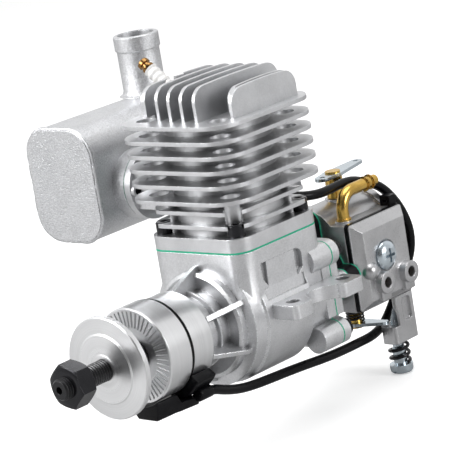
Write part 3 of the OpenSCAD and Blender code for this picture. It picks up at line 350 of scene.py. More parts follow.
def toned(color: Color, share: float) -> Color:
    """A lighter or darker tone of a colour.

    Args:
        color: The colour.
        share: Its brightness, where 1 is the colour itself.

    Returns:
        The tone, with no channel over 1.
    """
    return tuple(min(1.0, share * channel) for channel in color)


@dataclass(frozen=True)
class Casting(Finish):
    """Sand-cast metal, with a painted highlight along its edges and painted shade in its recesses."""

    name: str
    color: Color
    grain: float = 0.5 * MM
    depth: float = 0.09 * MM
    roughness: float = 0.34
    edge: float = 0.5 * MM
    metallic: float = 0.95
    speckle: float = 0.5
    # shade and hollow: strength and reach of the painted shade in recesses
    shade: float = 0.5
    cloud: float = 9 * MM
    pit: float = 1.7 * MM
    hollow: float = 6 * MM

    def dress(self, sheet: NodeSheet) -> None:
        """Fine grain and cloudy colour, with a painted highlight on the edges and painted shade in the
        recesses.

        Args:
            sheet: The material's node tree.
        """
        place = sheet.place()
        soft, wear_and_highlight = sheet.edge_wear_and_highlight(self.edge)
        grain = sheet.noise(place, self.grain, 4.0, 0.6)
        cloud = sheet.noise(place, self.cloud, 3.0)
        pits = sheet.noise(place, self.pit, 2.0).span(0.62, 0.74)
        # Mask of the painted shade in recesses.
        painted_hollow_shade = sheet.painted_hollow_shade(self.hollow).span(0.34, 0.95) * self.shade
        color = sheet.mix(cloud.span(0.35, 0.65), toned(self.color, 0.86), self.color)
        color = sheet.mix(grain.span(0.4, 0.66) * self.speckle, color, toned(self.color, 1.24))
        # Edges lightened as a painted highlight, then recesses darkened as painted shade.
        color = sheet.mix(wear_and_highlight * 0.6, color, toned(self.color, 1.22))
        color = sheet.mix(painted_hollow_shade, color, toned(self.color, 0.13))
        rough = self.roughness + (grain - 0.5) * 0.3 + pits * 0.12 - wear_and_highlight * 0.1
        height = grain - pits * 0.35
        sheet.surface(Base_Color=color, Metallic=self.metallic, Roughness=rough.held(0.12, 0.8),
                      Normal=sheet.bump(height, self.depth, soft))


@dataclass(frozen=True)
class Turned(Finish):
    """Metal turned about the crankshaft, with rings on its faces and lines round its rim."""

    name: str
    color: Color
    pitch: float = 0.16 * MM
    depth: float = 0.006 * MM
    roughness: float = 0.3
    edge: float = 0.25 * MM
    band: float = 1.3 * MM
    haze: float = 6 * MM
    # Reach of the painted shade in recesses.
    hollow: float = 3 * MM

    def dress(self, sheet: NodeSheet) -> None:
        """Rings by radius and by Y, with a painted highlight on the edges and painted shade in the recesses.

        Args:
            sheet: The material's node tree.
        """
        place = sheet.place()
        x, y, z = sheet.axes(place)
        radius = (x * x + z * z) ** 0.5
        soft, wear_and_highlight = sheet.edge_wear_and_highlight(self.edge)
        line = sheet.node("ShaderNodeCombineXYZ", {}, {0: radius, 1: y, 2: 0.0})
        rings = sheet.noise(line, self.pitch, 2.0, 0.5)
        bands = sheet.noise(line, self.band, 2.0, 0.5)
        haze = sheet.noise(place, self.haze, 2.0)
        lines = bands.span(0.3, 0.7) * 0.6 + rings.span(0.35, 0.65) * 0.4
        # Mask of the painted shade in recesses.
        painted_hollow_shade = sheet.painted_hollow_shade(self.hollow).span(0.45, 1.0) * 0.7
        color = sheet.mix(lines, toned(self.color, 0.9), self.color)
        # Edges lightened as rubbed metal and as a painted highlight, then recesses darkened as painted
        # shade.
        color = sheet.mix(wear_and_highlight * 0.6, color, toned(self.color, 1.2))
        color = sheet.mix(painted_hollow_shade, color, toned(self.color, 0.25))
        rough = self.roughness + (rings - 0.5) * 0.12 + (haze - 0.5) * 0.03
        sheet.surface(Base_Color=color, Metallic=1.0, Roughness=rough.held(0.08, 0.6),
                      Normal=sheet.bump(rings, self.depth, soft))


@dataclass(frozen=True)
class Steel(Finish):
    """Plated or oxidised steel, with fine scratches, and edges lightened as rubbed metal and as a painted
    highlight.
    """

    name: str
    color: Color
    # Colour of the edges: rubbed metal and a painted highlight.
    rubbed_and_lit_edge: Color
    roughness: float = 0.35
    metallic: float = 1.0
    # Share of that edge colour.
    rubbed_and_lit_share: float = 0.4
    edge: float = 0.18 * MM
    depth: float = 0.004 * MM
    line: float = 1.1 * MM
    draw: Point = (1.0, 7.0, 1.0)
    cloud: float = 3 * MM

    def dress(self, sheet: NodeSheet) -> None:
        """Fine scratches over a cloudy colour, edges lightened as rubbed metal and as a painted highlight.

        Args:
            sheet: The material's node tree.
        """
        place = sheet.place()
        soft, wear_and_highlight = sheet.edge_wear_and_highlight(self.edge)
        lines = sheet.noise(sheet.stretch(place, self.draw), self.line, 4.0, 0.7)
        cloud = sheet.noise(place, self.cloud, 3.0)
        color = sheet.mix(cloud.span(0.3, 0.7), toned(self.color, 0.9), self.color)
        # Edges lightened as rubbed metal and as a painted highlight; faint scratches too.
        color = sheet.mix(wear_and_highlight * self.rubbed_and_lit_share + lines.span(0.62, 0.8) * 0.08, color, self.rubbed_and_lit_edge)
        rough = self.roughness + (cloud - 0.5) * 0.08 + (lines - 0.5) * 0.06
        sheet.surface(Base_Color=color, Metallic=self.metallic, Roughness=rough.held(0.1, 0.8),
                      Normal=sheet.bump(lines, self.depth, soft))


@dataclass(frozen=True)
class ThreadedSteel(Finish):
    """Black oxide on the crankshaft, with its thread on the part in front of the drive hub."""

    name: str = "black_threaded_steel"
    color: Color = (0.035, 0.035, 0.037)
    crest: Color = (0.22, 0.22, 0.23)
    pitch: float = 1.0 * MM
    thread_radius: float = 3.45 * MM
    thread_end: float = -61.5 * MM
    thread_depth: float = 0.32 * MM
    edge: float = 0.2 * MM
    grain: float = 0.6 * MM

    def dress(self, sheet: NodeSheet) -> None:
        """A helical groove by angle and Y, where the shaft is threaded.

        Args:
            sheet: The material's node tree.
        """
        place = sheet.place()
        x, y, z = sheet.axes(place)
        radius = (x * x + z * z) ** 0.5
        angle = sheet.node("ShaderNodeMath", {"operation": "ARCTAN2"}, {0: z, 1: x})
        turn = y / self.pitch + angle / (2 * math.pi)
        ridge = sheet.node("ShaderNodeMath", {"operation": "PINGPONG"}, {0: turn, 1: 0.5}) * 2.0
        at_rim = radius.span(self.thread_radius - 0.1 * MM, self.thread_radius)
        in_front = y.span(self.thread_end + 0.5 * MM, self.thread_end)
        on_thread = at_rim * in_front
        height = ridge * on_thread
        soft, wear_and_highlight = sheet.edge_wear_and_highlight(self.edge)
        grain = sheet.noise(place, self.grain, 3.0)
        rubbed = (ridge.span(0.7, 0.95) * on_thread) * 0.35
        # Thread crests lightened, and edges lightened as rubbed metal and as a painted highlight.
        color = sheet.mix(rubbed + wear_and_highlight * 0.3, self.color, self.crest)
        rough = 0.36 + (grain - 0.5) * 0.25
        sheet.surface(Base_Color=color, Metallic=0.85, Roughness=rough.held(0.15, 0.7),
                      Normal=sheet.bump(height, self.thread_depth, soft))


@dataclass(frozen=True)
class Brass(Finish):
    """Turned brass, a little dull."""

    name: str = "turned_brass"
    color: Color = (0.76, 0.49, 0.12)
    edge: float = 0.2 * MM
    depth: float = 0.008 * MM
    cloud: float = 2.4 * MM
    line: float = 0.25 * MM

    def dress(self, sheet: NodeSheet) -> None:
        """Cloudy tarnish and fine turning lines.

        Args:
            sheet: The material's node tree.
        """
        place = sheet.place()
        soft, wear_and_highlight = sheet.edge_wear_and_highlight(self.edge)
        tarnish = sheet.noise(place, self.cloud, 3.0)
        lines = sheet.noise(place, self.line, 2.0)
        rubbed = tuple(min(1.0, 1.2 * channel + 0.05) for channel in self.color)
        color = sheet.mix(tarnish.span(0.35, 0.7), self.color, toned(self.color, 0.76))
        # Edges lightened as rubbed metal and as a painted highlight.
        color = sheet.mix(wear_and_highlight * 0.5, color, rubbed)
        rough = 0.16 + tarnish * 0.14
        sheet.surface(Base_Color=color, Metallic=1.0, Roughness=rough.held(0.1, 0.6),
                      Normal=sheet.bump(lines, self.depth, soft))


@dataclass(frozen=True)
class Pressed(Finish):
    """Fibre sheet, rubber or moulded plastic: no metal, fine grain."""

    name: str
    color: Color
    light: Color
    grain: float = 0.3 * MM
    depth: float = 0.02 * MM
    roughness: float = 0.6
    gloss: float = 0.3
    edge: float = 0.25 * MM
    cloud: float = 5 * MM

    def dress(self, sheet: NodeSheet) -> None:
        """Fine grain over a slightly cloudy colour.

        Args:
            sheet: The material's node tree.
        """
        place = sheet.place()
        soft, wear_and_highlight = sheet.edge_wear_and_highlight(self.edge)
        grain = sheet.noise(place, self.grain, 3.0)
        cloud = sheet.noise(place, self.cloud, 2.0)
        # Cloudy colour, and edges lightened as a rubbed surface and as a painted highlight.
        color = sheet.mix(cloud.span(0.35, 0.7) * 0.7 + wear_and_highlight * 0.3, self.color, self.light)
        rough = self.roughness + (grain - 0.5) * 0.15
        sheet.surface(Base_Color=color, Roughness=rough.held(0.15, 0.95),
                      Specular_IOR_Level=self.gloss, Normal=sheet.bump(grain, self.depth, soft))


@dataclass(frozen=True)
class Glazed(Finish):
    """White glazed ceramic."""

    name: str = "glazed_ceramic"
    color: Color = (0.88, 0.87, 0.86)
    shaded: Color = (0.80, 0.78, 0.75)
    cloud: float = 2 * MM
    depth: float = 0.02 * MM

    def dress(self, sheet: NodeSheet) -> None:
        """A glossy coat over a slightly uneven white.

        Args:
            sheet: The material's node tree.
        """
        place = sheet.place()
        cloud = sheet.noise(place, self.cloud, 2.0)
        color = sheet.mix(cloud.span(0.4, 0.8), self.color, self.shaded)
        sheet.surface(Base_Color=color, Roughness=0.28 + cloud * 0.1, Coat_Weight=0.6, Coat_Roughness=0.08,
                      Normal=sheet.bump(cloud, self.depth))


ALUMINIUM: Color = (0.72, 0.725, 0.74)
BLACK: Color = (0.003, 0.003, 0.004)

CAST = Casting("cast_aluminium_skin", ALUMINIUM, grain=0.45 * MM, depth=0.06 * MM, roughness=0.36,
               edge=0.45 * MM, shade=0.75)
FINNED_CAST = Casting("finned_aluminium_skin", ALUMINIUM, grain=0.4 * MM, depth=0.03 * MM, roughness=0.37,
                      edge=0.25 * MM, speckle=0.3, shade=0.9)
MUFFLER_CAST = Casting("blasted_aluminium_skin", (0.64, 0.645, 0.66), depth=0.16 * MM, roughness=0.38,
                       speckle=0.9)
CARB_CAST = Casting("carb_zinc_skin", (0.56, 0.56, 0.57), grain=0.35 * MM, depth=0.03 * MM, roughness=0.32,
                    metallic=0.9, speckle=0.4, shade=0.15)
TURNED = Turned("turned_aluminium_skin", (0.88, 0.885, 0.895))
# Its light edge colour is rubbed metal and a painted highlight.
BLACK_STEEL = Steel("black_oxide_steel", (0.026, 0.026, 0.029), (0.3, 0.3, 0.31), roughness=0.22,
                    metallic=0.75, rubbed_and_lit_share=0.5)
BRIGHT_STEEL = Steel("ground_steel", (0.55, 0.56, 0.58), (0.75, 0.75, 0.76), roughness=0.24)
ZINC = Steel("zinc_plated_steel", (0.62, 0.69, 0.74), (0.82, 0.85, 0.87), roughness=0.24)
SPRING = Steel("spring_steel", (0.02, 0.02, 0.022), (0.2, 0.2, 0.205), roughness=0.24, metallic=0.7)
THREADED = ThreadedSteel()
BRASS = Brass()
# A darkened copy of brass for the mixture needles: painted shade.
SHADED_BRASS = Brass("shaded_brass", (0.06, 0.045, 0.02))
BRONZE = Brass("dark_bronze", (0.34, 0.19, 0.07))
GASKET = Pressed("green_gasket_sheet", (0.02, 0.42, 0.24), (0.05, 0.52, 0.33), grain=0.4 * MM,
                 depth=0.03 * MM, roughness=0.55)
RUBBER = Pressed("black_lead_rubber", BLACK, (0.007, 0.007, 0.008), grain=0.5 * MM, depth=0.002 * MM,
                 roughness=0.24, gloss=0.16)
PLASTIC = Pressed("black_moulded_plastic", BLACK, (0.012, 0.012, 0.014), grain=0.5 * MM, depth=0.008 * MM,
                  roughness=0.3, gloss=0.14)
CERAMIC = Glazed()


# Shaping


class Shop:
    """Turns meshes into finished pieces of the object."""

    @staticmethod
    def piece(bm: bmesh.types.BMesh, name: str, finish: Finish, slot: Slot, body: str,
              nodes: Iterable[str] = (), sharp: float = 35.0) -> bpy.types.Object:
        """Make an object that rides a body.

        Args:
            bm: Its mesh, which is freed.
            name: The piece's name.
            finish: Its material.
            slot: Its material slot in the record; not used.
            body: The CAD body that it moves with.
            nodes: CAD nodes that it stands for.
            sharp: Angle from which an edge stays sharp, in degrees.

        Returns:
            The new object.
        """
        mesh = bpy.data.meshes.new(name)
        bm.normal_update()
        limit = math.radians(sharp)
        for face in bm.faces:
            face.smooth = True
        for edge in bm.edges:
            edge.smooth = len(edge.link_faces) == 2 and edge.calc_face_angle(0.0) < limit
        bm.to_mesh(mesh)
        bm.free()
        made = bpy.data.objects.new(name, mesh)
        bpy.context.scene.collection.objects.link(made)
        mesh.materials.append(finish.material())
        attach(made, body)
        if nodes:
            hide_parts(*nodes)
        log.info("%s rides %s, %d faces", name, body, len(mesh.polygons))
        return made

    @staticmethod
    def dressed(node: str, finish: Finish, slot: Slot, sharp: float = 32.0, ease: float = 0.0,
                turn: float = 0.0) -> bpy.types.Object:
        """Give a CAD solid a smooth-shaded skin.

        Args:
            node: The CAD node, whose merged copy becomes the piece.
            finish: Its material.
            slot: Its material slot in the record.
            sharp: Angle from which an edge stays sharp, in degrees.
            ease: Width of the rounding of its sharp edges, where it has one.
            turn: Angle by which a screw along X is turned on its axis, in radians.

        Returns:
            The piece that stands for the node.
        """
        source = frame["nodes"][node]
        bm = bmesh.new()
        bm.from_mesh(source.data)
        bmesh.ops.remove_doubles(bm, verts=bm.verts, dist=SEAM)
        if ease:
            bmesh.ops.dissolve_limit(bm, angle_limit=FLAT, verts=bm.verts, edges=bm.edges)
            rounded(bm, ease)
        if turn:
            middle = sum((v.co for v in bm.verts), Vector()) / len(bm.verts)
            bmesh.ops.rotate(bm, verts=bm.verts, cent=middle, matrix=Matrix.Rotation(turn, 3, "X"))
        return Shop.piece(bm, f"{node}_skin", finish, slot, source["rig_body"], (node,), sharp)


def dress_all(finish: Finish, slot: Slot, names: str) -> None:
    """Dress several CAD nodes.

    Args:
        finish: Their material.
        slot: Their material slot in the record.
        names: The nodes, with spaces between them.
    """
    for name in names.split():
        Shop.dressed(name, finish, slot)


def rounded(bm: bmesh.types.BMesh, offset: float, angle: float = 35.0) -> None:
    """Round the sharp edges of a mesh.

    Args:
        bm: The mesh.
        offset: Width of the rounding.
        angle: Angle from which an edge is sharp, in degrees.
    """
    bmesh.ops.recalc_face_normals(bm, faces=bm.faces)
    sharp = [edge for edge in bm.edges if edge.calc_face_angle(0.0) > math.radians(angle)]
    bmesh.ops.bevel(bm, geom=sharp, offset=offset, offset_type="OFFSET", segments=3, profile=0.5,
                    affect="EDGES", material=-1, clamp_overlap=True)


def lofted(loops: list[list[Vector]]) -> bmesh.types.BMesh:
    """Join closed loops of the same number of points, and close both ends.

    Args:
        loops: The loops in order.

    Returns:
        The closed mesh.
    """
    bm = bmesh.new()
    before: list[bmesh.types.BMEdge] = []
    for number, loop in enumerate(loops):
        verts = [bm.verts.new(point) for point in loop]
        edges = [bm.edges.new((a, b)) for a, b in zip(verts, verts[1:] + verts[:1])]
        if number in (0, len(loops) - 1):
            bm.faces.new(verts)
        if before:
            bmesh.ops.bridge_loops(bm, edges=before + edges)
        before = edges
    bmesh.ops.recalc_face_normals(bm, faces=bm.faces)
    return bm


def swept(points: list[Vector], radius: float, sides: int, closed: bool = False,
          swells: Optional[list[float]] = None) -> bmesh.types.BMesh:
    """Sweep a circle along points.

    Args:
        points: The path.
        radius: Radius of the bar.
        sides: Sides of its section, an even number.
        closed: Whether the path closes on itself.
        swells: Share of the radius at each point, where it varies.

    Returns:
        The mesh.
    """
    curve = bpy.data.curves.new("path", "CURVE")
    curve.dimensions = "3D"
    curve.bevel_depth = radius
    curve.bevel_resolution = (sides - 4) // 2
    curve.use_fill_caps = not closed
    spline = curve.splines.new("POLY")
    spline.points.add(len(points) - 1)
    for point, place, swell in zip(spline.points, points, swells or [1.0] * len(points)):
        point.co = (*place, 1.0)
        point.radius = swell
    spline.use_cyclic_u = closed
    carrier = bpy.data.objects.new("path", curve)
    bpy.context.scene.collection.objects.link(carrier)
    mesh = bpy.data.meshes.new_from_object(carrier.evaluated_get(bpy.context.evaluated_depsgraph_get()))
    bm = bmesh.new()
    bm.from_mesh(mesh)
    bmesh.ops.remove_doubles(bm, verts=bm.verts, dist=TOUCH)
    bpy.data.objects.remove(carrier)
    bpy.data.curves.remove(curve)
    bpy.data.meshes.remove(mesh)
    return bm


# Sub-assemblies


@dataclass
class CrankUnit:
    """Crankcase with its front ring, bearings, shaft seal, piston and rod."""

    def build(self) -> None:
        """Dress the solids."""
        dress_all(CAST, Slot.CAST, "crankcase piston con_rod")
        dress_all(TURNED, Slot.TURNED, "front_ring")
        dress_all(BRIGHT_STEEL, Slot.BRIGHT_STEEL,
                  "front_bearing rear_bearing piston_ring wrist_pin big_end_bearing")
        dress_all(BRASS, Slot.BRASS, "small_end_bush")
        dress_all(BLACK_STEEL, Slot.BLACK_STEEL, "pin_circlips")
        dress_all(RUBBER, Slot.RUBBER, "shaft_seal")


@dataclass
class PropellerDrive:
    """Crankshaft, drive hub with its magnet, washer and nut, and a black ring behind the hub that is painted
    shade.
    """

    shade_ring_inner: float = 8.6 * MM
    shade_ring_outer: float = 15.35 * MM
    shade_ring_front: float = -50.0 * MM
    shade_ring_rear: float = -49.05 * MM

    def build(self) -> None:
        """Dress the solids and make the black ring of painted shade."""
        dress_all(THREADED, Slot.BLACK_STEEL, "crankshaft")
        dress_all(TURNED, Slot.TURNED, "drive_hub prop_washer")
        dress_all(BLACK_STEEL, Slot.BLACK_STEEL, "prop_nut")
        dress_all(BRIGHT_STEEL, Slot.BRIGHT_STEEL, "hub_magnet")
        self.recess_shade_ring()

    def recess_shade_ring(self) -> None:
        """A black ring over the front bearing, put in as painted shade: it shows as a dark line in the
        recess behind the hub.
        """
        bm = bmesh.new()
        ring = bmesh.ops.create_circle(bm, segments=96, radius=self.shade_ring_inner)
        upright = Matrix.Rotation(math.pi / 2, 3, "X")
        bmesh.ops.rotate(bm, verts=ring["verts"], cent=(0, 0, 0), matrix=upright)
        bmesh.ops.translate(bm, verts=bm.verts, vec=(0, self.shade_ring_front, 0))
        edges = list(bm.edges)
        for radius, y in ((self.shade_ring_outer, self.shade_ring_front), (self.shade_ring_outer, self.shade_ring_rear),
                          (self.shade_ring_inner, self.shade_ring_rear)):
            grown = bmesh.ops.extrude_edge_only(bm, edges=edges)["geom"]
            for vert in (item for item in grown if isinstance(item, bmesh.types.BMVert)):
                spot = Vector((vert.co.x, 0, vert.co.z)).normalized() * radius
                vert.co = (spot.x, y, spot.z)
            edges = [item for item in grown if isinstance(item, bmesh.types.BMEdge)]
        bmesh.ops.bridge_loops(bm, edges=[edge for edge in bm.edges if edge.is_boundary])
        bmesh.ops.recalc_face_normals(bm, faces=bm.faces)
        Shop.piece(bm, "bearing_recess_shade", RUBBER, Slot.RUBBER, "engine")


@dataclass
class CylinderUnit:
    """Cylinder, its gasket and screws, and the spark plug."""

    def build(self) -> None:
        """Dress the solids."""
        dress_all(FINNED_CAST, Slot.CAST, "cylinder")
        dress_all(GASKET, Slot.GASKET, "base_gasket exhaust_gasket")
        dress_all(BLACK_STEEL, Slot.BLACK_STEEL, "base_screws")
        dress_all(BRIGHT_STEEL, Slot.BRIGHT_STEEL, "spark_plug_shell")
        dress_all(CERAMIC, Slot.CERAMIC, "spark_plug_insulator")
        dress_all(BRONZE, Slot.BRASS, "spark_plug_terminal")


@dataclass
class MufflerUnit:
    """Muffler with its welded end plates and outlet tube."""

    x0: float = -68.9 * MM  # outer walls of the shell
    x1: float = -38.5 * MM
    z0: float = 24.8 * MM
    z1: float = 63.6 * MM
    y0: float = -26.9 * MM
    y1: float = 35.1 * MM
    corner: float = 10 * MM
    bead: float = 0.8 * MM  # its radius
    bead_step: float = 1.3 * MM
    bead_inset: float = 0.35 * MM
    bead_shake: float = 0.07 * MM
    bead_swell: tuple[float, float] = (0.84, 1.1)
    bead_from_end: float = 1.0 * MM

    def weld(self, name: str, y: float) -> None:
        """Lay an uneven weld bead round the body.

        Args:
            name: The piece's name.
            y: Place along the crankshaft.
        """
        corners = self.outline(self.bead_inset, y)
        hand = random.Random(name)
        points: list[Vector] = []
        for start, end in zip(corners, corners[1:] + corners[:1]):
            pieces = max(1, round((end - start).length / self.bead_step))
            for i in range(pieces):
                shake = Vector([hand.uniform(-self.bead_shake, self.bead_shake) for _ in range(3)])
                points.append(start.lerp(end, i / pieces) + shake)
        swells = [hand.uniform(*self.bead_swell) for _ in points]
        bead = swept(points, self.bead, 10, closed=True, swells=swells)
        Shop.piece(bead, name, MUFFLER_CAST, Slot.CAST, "engine", sharp=60.0)

    def outline(self, inset: float, y: float, steps: int = 10) -> list[Vector]:
        """Rounded rectangle round the body.

        Args:
            inset: Distance inside the outer wall.
            y: Place along the crankshaft.
            steps: Points in a corner.

        Returns:
            The points of the closed outline.
        """
        radius = self.corner - inset
        left, right = self.x0 + self.corner, self.x1 - self.corner
        bottom, top = self.z0 + self.corner, self.z1 - self.corner
        centres = [(right, top, 0), (left, top, 90), (left, bottom, 180), (right, bottom, 270)]
        points = []
        for x, z, start in centres:
            for i in range(steps + 1):
                angle = math.radians(start + 90 * i / steps)
                points.append(Vector((x + radius * math.cos(angle), y, z + radius * math.sin(angle))))
        return points

    def build(self) -> None:
        """Dress the solids, and lay a bead along each end plate."""
        dress_all(MUFFLER_CAST, Slot.CAST,
                  "muffler_shell muffler_front_plate muffler_rear_plate exhaust_outlet")
        dress_all(BLACK_STEEL, Slot.BLACK_STEEL, "muffler_screws")
        self.weld("muffler_front_bead", self.y0 + self.bead_from_end)
        self.weld("muffler_rear_bead", self.y1 - self.bead_from_end)


@dataclass
class IntakeUnit:
    """Reed block, insulator and their gaskets."""

    def build(self) -> None:
        """Dress the solids."""
        dress_all(CAST, Slot.CAST, "reed_block")
        dress_all(GASKET, Slot.GASKET, "rear_gasket insulator_gasket carb_gasket")
        dress_all(PLASTIC, Slot.PLASTIC, "insulator")
        dress_all(BLACK_STEEL, Slot.BLACK_STEEL, "rear_screws reed_petals")
        dress_all(BRASS, Slot.BRASS, "pulse_nipple")


@dataclass(frozen=True)
class Coil:
    """A coil spring that stands along Z, with its measures in metres."""

    x: float
    y: float
    low: float
    high: float
    radius: float
    wire: float
    turns: float
    turn_points: int = 28

    def path(self) -> list[Vector]:
        """Middle line of the wire.

        Returns:
            Its points, from the lower end up.
        """
        count = int(self.turns * self.turn_points)
        points = []
        for i in range(count + 1):
            angle = 2 * math.pi * self.turns * i / count
            x = self.x + self.radius * math.cos(angle)
            y = self.y + self.radius * math.sin(angle)
            points.append(Vector((x, y, self.low + (self.high - self.low) * i / count)))
        return points


@dataclass
class Carburettor:
    """Carburettor body, covers, mixture screws, throttle, fuel elbow and the two wound springs."""

    return_spring: Coil = Coil(x=0.0, y=45.5 * MM, low=-21.8 * MM, high=-16.4 * MM, radius=2.88 * MM,
                               wire=0.36 * MM, turns=5.0)
    idle_spring: Coil = Coil(x=12.8 * MM, y=50.6 * MM, low=-37.2 * MM, high=-30.65 * MM, radius=3.25 * MM,
                             wire=0.6 * MM, turns=2.5)
    cover_rounding: float = 0.45 * MM
    cover_sharp: float = 50.0
    cross_turn: float = math.radians(45)

    def wind(self, name: str, coil: Coil, node: str) -> None:
        """Wind a coil spring.

        Args:
            name: The piece's name.
            coil: Its measures.
            node: The CAD node that it stands for.
        """
        spring = swept(coil.path(), coil.wire, 10)
        Shop.piece(spring, name, SPRING, Slot.BLACK_STEEL, "engine", (node,))

    def build(self) -> None:
        """Dress the solids and wind the springs."""
        dress_all(CARB_CAST, Slot.CARB, "carb_body metering_cover")
        Shop.dressed("pump_cover", CARB_CAST, Slot.CARB, self.cover_sharp, self.cover_rounding)
        dress_all(RUBBER, Slot.RUBBER, "pump_gasket")
        dress_all(BLACK_STEEL, Slot.BLACK_STEEL, "carb_screws")
        dress_all(ZINC, Slot.ZINC, "metering_screws throttle_arm stop_arm idle_screw")
        Shop.dressed("pump_cover_screw", ZINC, Slot.ZINC, turn=self.cross_turn)
        dress_all(BRASS, Slot.BRASS, "fuel_elbow throttle_shaft throttle_plate")
        dress_all(SHADED_BRASS, Slot.BRASS, "low_needle high_needle")
        self.wind("throttle_return_coil", self.return_spring, "throttle_spring")
        self.wind("idle_coil", self.idle_spring, "idle_spring")


@dataclass
class HubSensor:
    """Moulded sensor under the drive hub, with the strap that holds it to the front ring.

    All measures are in millimetres, and angles are in degrees about the shaft.
    """

    clear: float = 16.15  # radius about the shaft that the block stays out of
    clear_arc: tuple[float, ...] = (-59, -66, -74, -82, -90, -96)
    shoulder: tuple[float, float] = (8.9, -14.2)  # x and z, as in the next two
    inner_edge: tuple[tuple[float, float], ...] = ((-2.2, -18.0), (-0.8, -20.0))
    lower_corner: tuple[float, float] = (7.4, -20.1)
    sections: tuple[tuple[float, float, float], ...] = (  # place, top and shift, as section takes them
        (-62.2, 0.0, 0.0), (-53.6, 0.0, 0.4), (-52.6, -16.9, 0.8), (-44.8, -17.2, 1.8))
    strap_in: float = 14.95  # radii about the shaft
    strap_out: float = 18.5
    strap_ends: tuple[float, float] = (-37.0, -84.0)
    strap_y: tuple[float, float] = (-49.3, -40.4)
    strap_steps: int = 14
    rounding: float = 0.55
    boot_tail: Point = (11.0, -46.8, -16.4)
    boot_mouth: Point = (11.2, -40.9, -16.6)
    boot_radii: tuple[float, float] = (2.2, 2.0)  # at the tail and at the mouth
    boot_rounding: float = 0.4

    def section(self, y: float, top: float, shift: float) -> list[Vector]:
        """Outline of the block at one place along the shaft.

        Args:
            y: The place.
            top: Height above which it is cut.
            shift: How far its outer side stands out.

        Returns:
            The points of the closed outline.
        """
        angles = [math.radians(degrees) for degrees in self.clear_arc]
        under_hub = [(self.clear * math.cos(angle), self.clear * math.sin(angle)) for angle in angles]
        shoulder = (self.shoulder[0] + shift, self.shoulder[1])
        corner = (self.lower_corner[0] + shift, self.lower_corner[1])
        outline = [shoulder, *under_hub, *self.inner_edge, corner]
        return [Vector((x, y, min(z, top))) * MM for x, z in outline]

    def block(self) -> None:
        """The block under the hub, lower where the strap passes over it."""
        bm = lofted([self.section(*measures) for measures in self.sections])
        rounded(bm, self.rounding * MM, angle=40.0)
        Shop.piece(bm, "sensor_block", PLASTIC, Slot.PLASTIC, "engine", ("sensor_housing",), sharp=50.0)

    def strap(self) -> None:
        """The thick strap, turned about the shaft."""
        bm = bmesh.new()
        start, end = (math.radians(degrees) for degrees in self.strap_ends)
        front, rear = self.strap_y
        corners = [(self.strap_in, front), (self.strap_out, front), (self.strap_out, rear),
                   (self.strap_in, rear)]
        verts = [bm.verts.new(Vector((r * math.cos(start), y, r * math.sin(start))) * MM)
                 for r, y in corners]
        face = bm.faces.new(verts)
        bmesh.ops.spin(bm, geom=[face, *face.edges, *verts], cent=(0, 0, 0), axis=(0, -1, 0),
                       angle=end - start, steps=self.strap_steps, use_duplicate=False)
        rounded(bm, self.rounding * MM)
        Shop.piece(bm, "sensor_strap", PLASTIC, Slot.PLASTIC, "engine", ("sensor_clamp",), sharp=50.0)

    def boot(self) -> None:
        """The boot that the lead comes out of."""
        tail, mouth = Vector(self.boot_tail) * MM, Vector(self.boot_mouth) * MM
        tail_radius, mouth_radius = self.boot_radii
        bm = bmesh.new()
        bmesh.ops.create_cone(bm, cap_ends=True, segments=32, radius1=tail_radius * MM,
                              radius2=mouth_radius * MM, depth=(mouth - tail).length)
        turn = (mouth - tail).to_track_quat("Z", "Y").to_matrix()
        bmesh.ops.rotate(bm, verts=bm.verts, cent=(0, 0, 0), matrix=turn)
        bmesh.ops.translate(bm, verts=bm.verts, vec=(tail + mouth) / 2)
        rounded(bm, self.boot_rounding * MM)
        Shop.piece(bm, "sensor_boot", RUBBER, Slot.RUBBER, "engine")

    def build(self) -> None:
        """Make the three pieces."""
        self.block()
        self.strap()
        self.boot()


